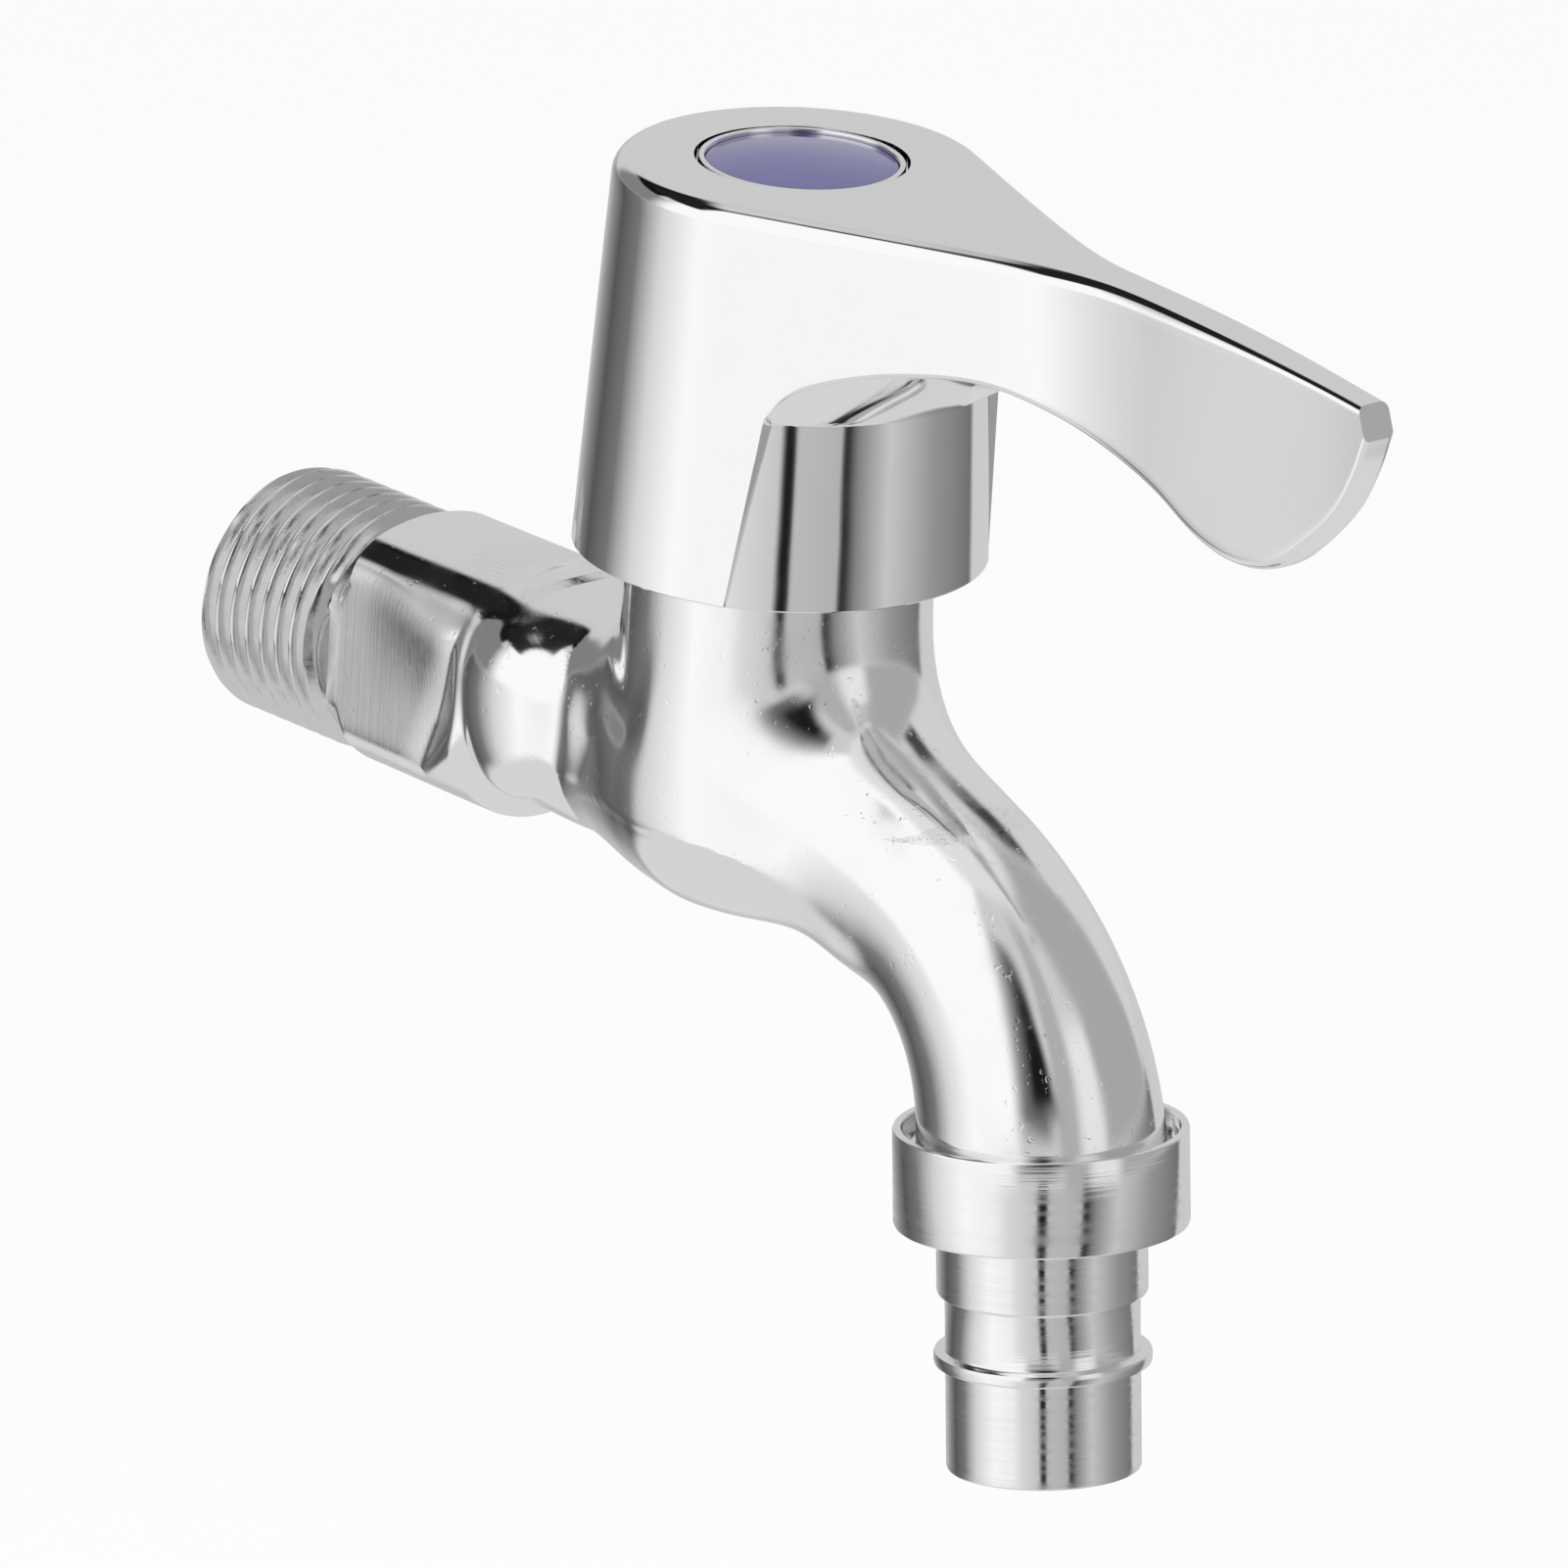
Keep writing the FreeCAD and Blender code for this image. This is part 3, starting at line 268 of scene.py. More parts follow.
def casting(x, reach, z):
    """Distance from the skin of the casting, less than nothing inside it. The fillet between
    tube and stem is wide in front and below, and narrower behind the chimney, the more so
    higher up. The flats are cut last, with a smooth minimum of the two distances turned round."""
    y = -VALVE - reach
    blend = 9.0 - smooth_step(-reach / 4.0) * (1.5 + 4.5 * smooth_step((z - 3.0) / 5.0))
    body = smooth_min(tube_form(x, reach, z), stem_form(x, reach, z), blend)
    body = smooth_min(body, barrel_form(x, y, z), 1.4)
    flat = np.where(-y > CUTTER_STOP, -50, spanner_flat(x, y, z))
    return -smooth_min(-body, -flat, 1.0)


print("spanner flats", 2 * FLAT, "mm apart, chimney", 2 * CHIMNEY_RADIUS, "mm across")

# %% [markdown]
# To turn that distance into a surface, rays leave the centreline in a fan round each place on
# it, and each ray is followed until the distance is nothing. The fan stands square to the line,
# but under the chimney its upper rays lean, so that they spread over the chimney's whole wall.

# %% Rays from the centreline to the skin
COLUMNS = 192
FAN_LEAN, FAN_FULL, FAN_END = math.radians(62.0), 13.0, 24.0
SHORTEST, LONGEST, STEP = 1.0, 34.0, 0.5


def skin_rows(s):
    """Rows of skin points. A ray is origin + t * (cos a across + sin a up), with up leaning
    forwards or back over the valve; t comes from a march outwards and then a bisection."""
    angle = (np.arange(COLUMNS) + 0.5) / COLUMNS * 2 * math.pi
    reach0, height0, lean = place_on_path(s)
    tilt = FAN_LEAN * np.clip(s / FAN_FULL, -1, 1) * smooth_step((FAN_END - np.abs(s)) / 11.0)
    up = smooth_step(np.sin(angle))[None, :]
    turn = lean[:, None] + tilt[:, None] * up
    dx = np.cos(angle)[None, :] * np.ones_like(turn)
    dr = np.sin(angle)[None, :] * np.sin(turn)
    dz = np.sin(angle)[None, :] * np.cos(turn)

    def distance(t):
        return casting(t * dx, reach0[:, None] + t * dr, height0[:, None] + t * dz)

    low = np.full(turn.shape, SHORTEST)
    found = np.zeros(turn.shape, dtype=bool)
    for t in np.arange(SHORTEST + STEP, LONGEST, STEP):
        inside = (distance(np.full(turn.shape, t)) < 0) & ~found
        low = np.where(inside, t, low)
        found |= ~inside
    high = low + STEP
    for _ in range(16):
        middle = (low + high) / 2
        inside = distance(middle) < 0
        low, high = np.where(inside, middle, low), np.where(inside, high, middle)
    t = (low + high) / 2
    x, reach, z = t * dx, reach0[:, None] + t * dr, height0[:, None] + t * dz
    return np.stack([x, -VALVE - reach, z], axis=-1)


SPIGOT_LENGTH = 4.4
stops = np.concatenate([
    np.linspace(-VALVE + 2.2, -31.0, 30, endpoint=False),
    np.linspace(-31.0, -23.5, 54, endpoint=False),
    np.linspace(-23.5, 18.0, 130, endpoint=False),
    np.linspace(18.0, SPOUT_END + SPIGOT_LENGTH, 64),
])
stops = stops[stops < SPOUT_END]
skin = skin_rows(stops)
print("rows and columns of the skin", skin.shape[:2])
print("its height runs from", round(skin[..., 2].min(), 2), "to", round(skin[..., 2].max(), 2), "mm")

# %% [markdown]
# The wall thread is a half-inch pipe thread: fourteen turns to the inch, rounded at crest and
# root. A thread is one ridge wound round a cylinder, so its radius depends on how far a point is
# along the axis and how far it is round it, each counted in turns. The thread runs into the
# undercut behind it, where the cutting tool had room to stop.

# %% Rows of the wall thread and the undercut
CREST, ROOT, PITCH, TIP = 10.4775, 9.32, 25.4 / 14, 14.3
UNDERCUT = 9.6
ROUND = (np.arange(COLUMNS) + 0.5) / COLUMNS * 2 * math.pi


def wall_rows(radius, y):
    """Rows round the inlet axis: radius times cosine and sine at each place along it."""
    radius = np.broadcast_to(radius, (len(y), COLUMNS))
    depth = np.broadcast_to(np.asarray(y)[:, None], radius.shape)
    return np.stack([radius * np.cos(ROUND), depth, radius * np.sin(ROUND)], axis=-1)


def thread_rows():
    """Radius = root + depth * ridge, where the ridge is a cosine of the turns, widened at its
    crest, and no point stands outside the chamfer cones at the two ends."""
    y = np.linspace(TIP, 0.0, 112)
    turns = (TIP - y)[:, None] / PITCH - ROUND[None, :] / (2 * math.pi)
    ridge = (0.5 + 0.5 * np.cos(2 * math.pi * turns)) ** 0.9
    radius = ROOT + (CREST - ROOT) * ridge
    tip_cone = CREST - 0.95 + (TIP - y)[:, None]
    foot_cone = UNDERCUT + y[:, None] * 1.1
    return wall_rows(np.minimum(np.minimum(radius, tip_cone), foot_cone), y)


def undercut_rows():
    """A groove of constant radius, cut by the two spanner flats, that opens into the barrel."""
    y = np.linspace(-0.15, -2.0, 8)
    radius = UNDERCUT + np.maximum(-y - 1.1, 0)[:, None] * 0.95
    flat = FLAT / np.maximum(np.abs(np.cos(ROUND)), 0.05)
    return wall_rows(smooth_min(radius, flat, 0.5), y)


print("thread:", round(TIP / PITCH, 1), "turns of", round(PITCH, 3), "mm,",
      round(CREST - ROOT, 2), "mm deep")

# %% [markdown]
# Both ends of the body are open, and a look into them should meet a real bore. So the same sheet
# of rows starts at the bottom of the inlet bore, comes out over the thread and along the skin,
# passes over the spigot that the nozzle is pushed on, and goes back in up the spout's mouth.

# %% Rows of the two bores and the spigot
INLET_BORE, INLET_DEPTH = 6.5, -9.7
MOUTH_BORE, SPIGOT = 6.3, 10.2
INLET = [(0.4, INLET_DEPTH), (3.0, INLET_DEPTH), (INLET_BORE, INLET_DEPTH),
         (INLET_BORE, INLET_DEPTH + 0.2), (INLET_BORE, 5.0), (INLET_BORE, TIP - 0.6),
         (INLET_BORE + 0.6, TIP), (9.0, TIP), (9.5, TIP)]


def path_rows(s, radius):
    """Round rows square to the centreline: centre + radius * (cosine across, sine up)."""
    reach, height, lean = place_on_path(np.asarray(s, float))
    radius = np.broadcast_to(np.asarray(radius, float)[:, None], (len(s), COLUMNS))
    up = radius * np.sin(ROUND)
    return np.stack([radius * np.cos(ROUND),
                     -VALVE - reach[:, None] - up * np.sin(lean)[:, None],
                     height[:, None] + up * np.cos(lean)[:, None]], axis=-1)


inlet_radius, inlet_place = np.array(INLET).T
inlet = wall_rows(inlet_radius[:, None], inlet_place)
LIP = SPOUT_END + SPIGOT_LENGTH
spigot = path_rows([SPOUT_END, SPOUT_END + 0.1, LIP - 0.4, LIP],
                   [SPIGOT + 0.1, SPIGOT, SPIGOT, SPIGOT - 0.3])
mouth = path_rows([LIP, LIP - 0.2, SPOUT_END, 38.0, 31.0, 24.0, 24.0],
                  [MOUTH_BORE + 0.3, *[MOUTH_BORE] * 5, 0.4])
print("rows: inlet", len(inlet), "spigot", len(spigot), "mouth", len(mouth))

# %% The cast body
rows = np.concatenate([inlet, thread_rows(), undercut_rows(), skin, spigot, mouth])
count = rows.shape[0]
caps = [tuple(range(COLUMNS)), tuple(range((count - 1) * COLUMNS, count * COLUMNS))[::-1]]
cast_body = piece_from("cast_body", rows.reshape(-1, 3), grid_faces(count, COLUMNS), caps, 38.0)
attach(cast_body, "tap")
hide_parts("tap_body")

# %% [markdown]
# The hose nozzle comes off a lathe, so it is one outline turned about its axis. Each corner has
# the small bevel that a turner leaves, and the outline carries the stop ring for the coupling.
# The nozzle stands on the spout's end, square to the end of the centreline.


# %% An outline turned about an axis
def turned_piece(name, outline, origin, lean, columns=160, crease=30.0):
    """Points (radius, height) turned about an axis through origin that leans by an angle from
    upright in the plane of symmetry. The outline is closed: its last point joins its first."""
    outline = np.asarray(outline, float)
    around = np.arange(columns) / columns * 2 * math.pi
    radius, height = outline[:, 0][:, None], outline[:, 1][:, None]
    x = radius * np.cos(around)
    out = radius * np.sin(around)
    y = origin[1] + out * math.cos(lean) + height * math.sin(lean)
    z = origin[2] - out * math.sin(lean) + height * math.cos(lean)
    points = np.stack([x, y, z], axis=-1)
    rows = len(outline)
    faces = grid_faces(rows + 1, columns) % (rows * columns)
    return piece_from(name, points.reshape(-1, 3), faces, (), crease)


def softened(corners, bevel):
    """The outline with each corner cut back by a bevel, into three points on a small arc."""
    corners = np.asarray(corners, float)
    before = np.roll(corners, 1, axis=0) - corners
    after = np.roll(corners, -1, axis=0) - corners
    length1 = np.hypot(*before.T)[:, None]
    length2 = np.hypot(*after.T)[:, None]
    cut = np.minimum(bevel, 0.4 * np.minimum(length1, length2))
    a = corners + before / length1 * cut
    b = corners + after / length2 * cut
    middle = (a + b) / 4 + corners / 2
    return np.stack([a, middle, b], axis=1).reshape(-1, 2)


# %% The hose nozzle
LEAN = math.pi / 2 - OUTLET
LAP = 2.0
end_reach, end_height = place_on_path(np.array(SPOUT_END))[:2]
COLLAR_TOP = np.array([0.0, -VALVE - end_reach + LAP * math.cos(OUTLET),
                       end_height + LAP * math.sin(OUTLET)])
# Radius, and height from the top of the collar.
nozzle_outline = [
    (11.25, 0.0), (11.25, -2.2), (10.3, -2.2), (10.3, -6.9), (5.4, -6.9), (5.4, -28.48),
    (7.9, -28.48), (7.9, -19.7), (8.85, -19.7), (8.85, -18.6), (7.9, -18.6), (7.9, -13.8),
    (8.55, -13.8), (8.55, -8.05), (12.0, -8.05), (12.0, 0.0),
]
hose_end = turned_piece("turned_nozzle", softened(nozzle_outline, 0.28)[::-1], COLLAR_TOP, LEAN)
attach(hose_end, "tap")
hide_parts("hose_nozzle")

# %% [markdown]
# The lever handle is a die casting. Seen from above it is a teardrop: a round skirt whose sides
# run on, tangent to it, into a thin blade. A box cut to shape with booleans would leave creases
# where the skirt meets the blade, so the half width is one soft function of the reach.

# %% The teardrop seen from above
WEB = math.radians(22.5)
BLADE, FLARE = 2.3, 1.28
LOW, TOP = 20.0, 53.3
SKIRT, DRAFT = 16.9, 1.7


def skirt_radius(z):
    """The skirt's radius, drawn in a little towards the top so that the casting leaves its die."""
    return SKIRT - DRAFT * (z - LOW) / (TOP - LOW)


def lever_half_width(reach, z):
    """Beyond the tangent point: the blade's half thickness plus a soft maximum of nothing and
    the straight flank, so the flank runs into the blade in one long curve. The blade thins by
    seven tenths of a millimetre towards its tip."""
    radius = skirt_radius(z)
    flank = radius * math.cos(WEB) - BLADE - (reach - radius * math.sin(WEB)) * math.tan(WEB)
    thinned = 0.7 * smooth_step((reach - 44.0) / 25.0)
    return BLADE - thinned + FLARE * np.logaddexp(0, flank / FLARE)


print("half width of the lever at 10, 30, 50 and 68 mm:",
      lever_half_width(np.array([10.0, 30.0, 50.0, 68.0]), TOP).round(2), "mm")

# %% [markdown]
# Seen from the side, the lever's underside rises over an arch for the fingers, drops to the keel
# of a paddle, and climbs to the tip. A sculpted line like that has no formula, so it is drawn as
# a few given points with a smooth curve through them.


# %% A smooth curve through given points
def smooth_curve(points, fractions):
    """A curve through points, by cubic pieces whose slope at a point is that of its neighbours'
    chord, read at fractions of its length."""
    points = np.asarray(points, float)
    chord = np.hypot(*np.diff(points, axis=0).T)
    at = np.concatenate([[0], np.cumsum(chord)])
    slope = np.empty_like(points)
    slope[1:-1] = (points[2:] - points[:-2]) / (at[2:] - at[:-2])[:, None]
    slope[0] = (points[1] - points[0]) / chord[0]
    slope[-1] = (points[-1] - points[-2]) / chord[-1]
    s = np.asarray(fractions) * at[-1]
    k = np.clip(np.searchsorted(at, s, side="right") - 1, 0, len(chord) - 1)
    h = chord[k][:, None]
    t = ((s - at[k]) / chord[k])[:, None]
    return ((1 + 2 * t) * (1 - t) ** 2 * points[k] + t * (1 - t) ** 2 * h * slope[k]
            + t ** 2 * (3 - 2 * t) * points[k + 1] + t ** 2 * (t - 1) * h * slope[k + 1])


# %% Underside and top of the lever seen from the side
ARCH = [(11.0, 36.3), (12.6, 38.3), (16.5, 40.3), (22.0, 41.9), (28.3, 42.5), (34.0, 41.5),
        (40.0, 39.8), (45.5, 37.8), (50.5, 35.3), (54.8, 34.4), (59.0, 35.2), (62.6, 37.9),
        (65.9, 41.8), (67.8, 45.6), (68.75, 48.3)]
CEILING, SHOULDER, LEVEL_STATIONS = 32.5, 10.6, 11
TOP_FALLS, TOP_FALL, TIP_REACH = 38.0, 2.6, 68.8
SLANT, TIP_TOP = 45.0, 67.7


def flank_reach(z):
    """Evenly spaced reaches along the flank, from the tangent point to the shoulder."""
    start = skirt_radius(z) * math.sin(WEB)
    return np.linspace(start, SHOULDER, LEVEL_STATIONS, endpoint=False)


def top_height(reach):
    """Level as far as the blade, then falling to the tip by the power 1.5 of the way."""
    way = np.clip((reach - TOP_FALLS) / (TIP_REACH - TOP_FALLS), 0, 1)
    return TOP - TOP_FALL * way ** 1.5


level = np.stack([flank_reach(CEILING), np.full(LEVEL_STATIONS, CEILING)], axis=-1)
foot = np.linspace((SHOULDER, CEILING), ARCH[0], 7, endpoint=False)
under = np.concatenate([level, foot, smooth_curve(ARCH, np.linspace(0, 1, 150))])
run = np.concatenate([[0], np.cumsum(np.hypot(*np.diff(under, axis=0).T))])
first_slanted = np.searchsorted(under[:, 0], SLANT)
share = np.clip((run - run[first_slanted]) / (run[-1] - run[first_slanted]), 0, 1)
upper_reach = np.where(share > 0, SLANT + share * (TIP_TOP - SLANT), under[:, 0])
upper_reach[:LEVEL_STATIONS] = flank_reach(TOP)
upper_reach = np.maximum.accumulate(upper_reach)
upper = np.stack([upper_reach, top_height(upper_reach)], axis=-1)
keel = min(level for reach, level in ARCH if reach > SLANT)
print("lever: stations", len(under), "reach", under[-1, 0], "height of the keel", keel)

# %% [markdown]
# Each column of the wall goes from a point on the underside to a point on the top, and how far it
# stands from the middle is the teardrop's half width there. A die casting has no sharp edge, and
# chrome shows that first, as a thin line of light. So both ends of each column turn inwards
# through a quarter circle, with a radius that changes along the lever.

# %% Walls of the lever with their rounded edges
SIDE_STATIONS = 56
BACK = SIDE_STATIONS - 1
height = np.concatenate([np.full(BACK, TOP - CEILING), np.hypot(*(upper - under).T)])
front = np.concatenate([np.full(BACK, -1.0), under[:, 0]])
top_edge = 1.7 - 0.3 * smooth_step((front - 12) / 22) - 0.65 * smooth_step((front - 34) / 34)
low_edge = 0.6 + 0.5 * smooth_step((front - 20) / 25) - 0.6 * smooth_step((front - 61) / 7)
low_edge = low_edge * smooth_step((front - 10.9) / 3.0)
safe = np.maximum(height, 1e-6)


def edge_row(part, inset):
    """The wall's points at one part of each column, in one row along the whole outline. An inset
    goes inwards along the radius at the back, and square to the flank's slope in front."""
    turn = np.linspace(0, math.pi / 2 + WEB, SIDE_STATIONS)[:-1]
    z_back = CEILING + (TOP - CEILING) * part[:BACK]
    radius = skirt_radius(z_back) - inset[:BACK]
    z = under[:, 1] + (upper[:, 1] - under[:, 1]) * part[BACK:]
    reach = under[:, 0] + (upper[:, 0] - under[:, 0]) * part[BACK:]
    half = lever_half_width(reach, z)
    slope = (lever_half_width(reach + 0.02, z) - lever_half_width(reach - 0.02, z)) / 0.04
    norm = np.sqrt(1 + slope ** 2)
    x = np.concatenate([radius * np.sin(turn), half - inset[BACK:] / norm])
    y = np.concatenate([-radius * np.cos(turn), reach + inset[BACK:] * slope / norm])
    return np.stack([x, -VALVE - y, np.concatenate([z_back, z])], axis=-1)


def column_rows():
    """Rows of the right wall from its lower edge to its upper one. On the rounded edges the
    inset is r * (1 - sine) and the rise r * (1 - cosine) of the angle turned."""
    rows = []
    for turned_by in np.linspace(0, math.pi / 2, 6):
        inset = low_edge * (1 - math.sin(turned_by))
        part = low_edge * (1 - math.cos(turned_by)) / safe
        rows.append(edge_row(part, inset))
    for step in np.linspace(0, 1, 26)[1:-1]:
        part = (low_edge + (height - low_edge - top_edge) * step) / safe
        rows.append(edge_row(part, 0.0 * height))
    for turned_by in np.linspace(0, math.pi / 2, 8):
        inset = top_edge * (1 - math.cos(turned_by))
        part = 1 - top_edge * (1 - math.sin(turned_by)) / safe
        rows.append(edge_row(part, inset))
    return rows


wall = column_rows()
print("wall of the lever:", len(wall), "rows of", len(height), "points")

# %% [markdown]
# The top and the underside are strips from the wall's edges to the middle. There they end on a
# circle, where the well for the screw goes down, and farther out on the middle line. Below, the
# arch of the lever falls in a slope to the round boss that the skirt closes on.

# %% Strips over and under the lever
HOLE, SOCKET, BOSS_TOP = 8.75, 6.42, 35.6
split = BACK + LEVEL_STATIONS - 1
swing = np.linspace(0, math.pi, split + 1)


def under_height(row, edge):
    """Heights of a row under the lever. The underside falls from its edge to the round boss of
    the skirt: the share of that fall is the way to the edge over the ways to edge and boss."""
    reach = -VALVE - row[:, 1]
    to_edge = np.maximum(edge[:, 0] - row[:, 0], 0)
    to_boss = np.hypot(row[:, 0], reach) - skirt_radius(BOSS_TOP)
    inner = 1 - 0.12 * np.minimum(to_boss, 0)
    share = np.where(to_boss > 0, to_edge / (to_edge + np.maximum(to_boss, 1e-6)), inner)
    fall = np.maximum(edge[:, 2] - BOSS_TOP, 0) * (1 - smooth_step((reach - 20.0) / 14.0))
    return np.where(reach > SHOULDER, row[:, 2] - fall * share, row[:, 2])


def spine_row(radius, height_round, curve, on_top):
    """The inner end of each station: on a circle round the valve axis as far as the flank, then
    on the middle line. On top the line starts at the circle, and below it follows the curve."""
    rest = curve[split + 1 - BACK:]
    begin, end = curve[split - BACK, 0], curve[-1, 0]
    line = radius + (end - radius) * (rest[:, 0] - begin) / (end - begin) if on_top else rest[:, 0]
    line_height = top_height(line) if on_top else rest[:, 1]
    x = np.concatenate([radius * np.sin(swing), np.zeros(len(rest))])
    reach = np.concatenate([-radius * np.cos(swing), line])
    z = np.concatenate([np.full(split + 1, height_round), line_height])
    return np.stack([x, -VALVE - reach, z], axis=-1)


top_spine = spine_row(HOLE, TOP, upper, True)
low_spine = spine_row(SOCKET, CEILING, under, False)
low_strip = [low_spine + (wall[0] - low_spine) * part for part in np.linspace(0, 1, 41)[:-1]]
for row in low_strip:
    row[split + 1:, 2] = under_height(row, wall[0])[split + 1:]
top_strip = [wall[-1] + (top_spine - wall[-1]) * part for part in np.linspace(0, 1, 11)[1:]]
for row in top_strip:
    falls = -VALVE - row[:, 1] > TOP_FALLS
    row[falls, 2] = top_height(-VALVE - row[falls, 1])
right = np.stack(low_strip + wall + top_strip)
left = right[:, ::-1] * np.array([-1, 1, 1])
print("half of the lever", right.shape[:2])

# %% The well in the handle and its skirt
WELL = [(HOLE, TOP), (HOLE, 50.1), (4.2, 50.1), (4.2, 43.6), (2.2, 43.6), (2.2, 42.0),
        (SOCKET, 42.0), (SOCKET, CEILING)]
SKIRT_BORE, FOLD_FOOT, SINK = 14.6, 9.2, 0.08
around = np.concatenate([swing, 2 * math.pi - swing[-2:0:-1]])
radius, level = (column[:, None] + 0 * around for column in np.array(WELL).T)
well = np.stack([radius * np.sin(around), -VALVE + radius * np.cos(around), level], axis=-1)


def mirrored(x, y, z):
    """Half rings and their mirror images as closed rings about the valve axis."""
    back = slice(-2, 0, -1)
    return np.stack([np.concatenate([x, -x[:, back]], axis=1),
                     np.concatenate([y, y[:, back]], axis=1) - VALVE,
                     np.concatenate([z, z[:, back]], axis=1)], axis=-1)


def skirt_rows():
    """The hollow skirt: the teardrop's own outline at the back and sides as far as the crease,
    and past it a plain round wall. The distance to a flank is the radius over a cosine. Above
    the ceiling the rows sink a little into the lever."""
    z = np.concatenate([[LOW, LOW + 0.07, LOW + 0.2], np.linspace(LOW + 0.5, CEILING, 30),
                        np.linspace(CEILING + 0.04, BOSS_TOP + 0.6, 12)])[:, None]
    sink = np.where(z > CEILING, SINK, 0.0)
    bevel = 0.3 * np.maximum(0.0, 1 - (z - LOW) / 0.2)
    radius = skirt_radius(z)
    crease_reach, crease_height = ARCH[0]
    way = (z - LOW) / (crease_height - LOW)
    fold_reach = FOLD_FOOT + (crease_reach - FOLD_FOOT) * way - sink
    fold_x = lever_half_width(fold_reach, z) - sink
    fold = math.pi - np.arctan2(fold_x, fold_reach)
    beside = fold * np.linspace(0, 1, 90)
    flank = (radius - sink) / np.cos(np.maximum(beside - math.pi / 2 - WEB, 0)) - bevel
    start = math.pi - np.arccos(fold_reach / radius)
    before = start + (math.pi - start) * np.linspace(0, 1, 60)
    turn = np.concatenate([beside, before], axis=1)
    outer = np.concatenate([flank, radius - bevel + 0 * before], axis=1)
    level = z + 0 * turn
    outside = mirrored(outer * np.sin(turn), outer * np.cos(turn), level)
    inside = mirrored(SKIRT_BORE * np.sin(turn), SKIRT_BORE * np.cos(turn), level)
    return np.concatenate([outside, inside[::-1]])


skirt = skirt_rows()
print("rows and columns: well", well.shape[:2], "skirt", skirt.shape[:2])

# %% The lever handle
TILT, SET_DOWN = 0.012, 0.2
parts, faces, first = [], [], 0
for block, wrap in ((right, False), (left, False), (well, True)):
    parts.append(block.reshape(-1, 3))
    faces.append(grid_faces(block.shape[0], block.shape[1], first, wrap))
    first += block.shape[0] * block.shape[1]
ring_faces = grid_faces(skirt.shape[0] + 1, skirt.shape[1])
parts.append(skirt.reshape(-1, 3))
faces.append(ring_faces % (skirt.shape[0] * skirt.shape[1]) + first)
points = np.concatenate(parts)
tilted = TILT * (-VALVE - points[:, 1]) - SET_DOWN
points[:, 2] += tilted * smooth_step((points[:, 2] - 44.0) / 9.0)
rows, stations = right.shape[:2]
end_right = np.arange(rows) * stations + stations - 1
end_left = (np.arange(rows) * stations + rows * stations)[-2:0:-1]
tip_face = [np.concatenate([end_right, end_left]).tolist()]
lever_handle = piece_from("lever_handle", points, np.concatenate(faces), tip_face, 32.0,
                          weld=True)
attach(lever_handle, "lever")
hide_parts("handle")

# %% [markdown]
# The cap that hides the handle's screw is a moulding in two parts: a bright plated ring, and a
# violet-blue disc with a low dome. A thin dark gap shows between the ring and the handle.

# %% The cap's ring and disc
ring_outline = [(7.9, 50.15), (8.4, 50.15), (8.4, 53.05), (7.88, 53.05)]
cap_ring = turned_piece("cap_ring", softened(ring_outline, 0.2), (0, -VALVE, 0), 0.0, 128)
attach(cap_ring, "lever")
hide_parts("cap_bezel")


def dome_outline(radius, rim, rise):
    """From the middle outwards along a flat ball, height = rim + rise * (1 - (r / radius)^2),
    and back under a flat base."""
    r = np.linspace(0.02, radius, 28)
    crown = np.stack([r, rim + rise * (1 - (r / radius) ** 2)], axis=-1)
    return np.concatenate([crown, [(radius, rim - 1.4), (0.02, rim - 1.4)]])


cap_disc = turned_piece("cap_disc", dome_outline(7.8, 52.65, 0.75)[::-1], (0, -VALVE, 0), 0.0, 128)
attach(cap_disc, "lever")
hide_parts("index_disc")

# %% [markdown]
# Chrome has hardly a colour of its own: what shows is the room, bent by the skin. What tells cast
# chrome from turned chrome is the small detail in that mirror. A casting that was polished by
# hand is very slightly wavy, with a few pits and hazy patches, and a turned face has fine rings.


# %% Tools for materials
def new_finish(name, base, metallic, roughness):
    """A material with its main shader set to plain values."""
    finish = bpy.data.materials.new(name)
    finish.use_nodes = True
    shader = finish.node_tree.nodes["Principled BSDF"]
    shader.inputs["Base Color"].default_value = (*base, 1)
    shader.inputs["Metallic"].default_value = metallic
    shader.inputs["Roughness"].default_value = roughness
    return finish, finish.node_tree.nodes, finish.node_tree.links, shader


def noise(nodes, links, vector, scale, detail=3.0, rough=0.5):
    """A cloudy pattern read at a vector."""
    cloud = nodes.new("ShaderNodeTexNoise")
    cloud.inputs["Scale"].default_value = scale
    cloud.inputs["Detail"].default_value = detail
    cloud.inputs["Roughness"].default_value = rough
    links.new(vector, cloud.inputs["Vector"])
    return cloud.outputs["Fac"]


def spread(nodes, links, value, low, high, to_low, to_high):
    """Carry values between low and high over to another range, clamped at its ends."""
    change = nodes.new("ShaderNodeMapRange")
    for socket, number in zip(("From Min", "From Max", "To Min", "To Max"),
                              (low, high, to_low, to_high)):
        change.inputs[socket].default_value = number
    links.new(value, change.inputs["Value"])
    return change.outputs["Result"]


def bump(nodes, links, height, strength, distance, before=None):
    """Tilt the normal by a height pattern."""
    bumper = nodes.new("ShaderNodeBump")
    bumper.inputs["Strength"].default_value = strength
    bumper.inputs["Distance"].default_value = distance
    links.new(height, bumper.inputs["Height"])
    if before is not None:
        links.new(before, bumper.inputs["Normal"])
    return bumper.outputs["Normal"]


def place(nodes):
    """The point's own place on the object, in metres."""
    return nodes.new("ShaderNodeTexCoord").outputs["Object"]


# %% Sums and blends for materials
def feed(links, socket, value):
    """Set a socket to a plain value, or join it to another socket."""
    if isinstance(value, (int, float, tuple)):
        socket.default_value = value
    else:
        links.new(value, socket)


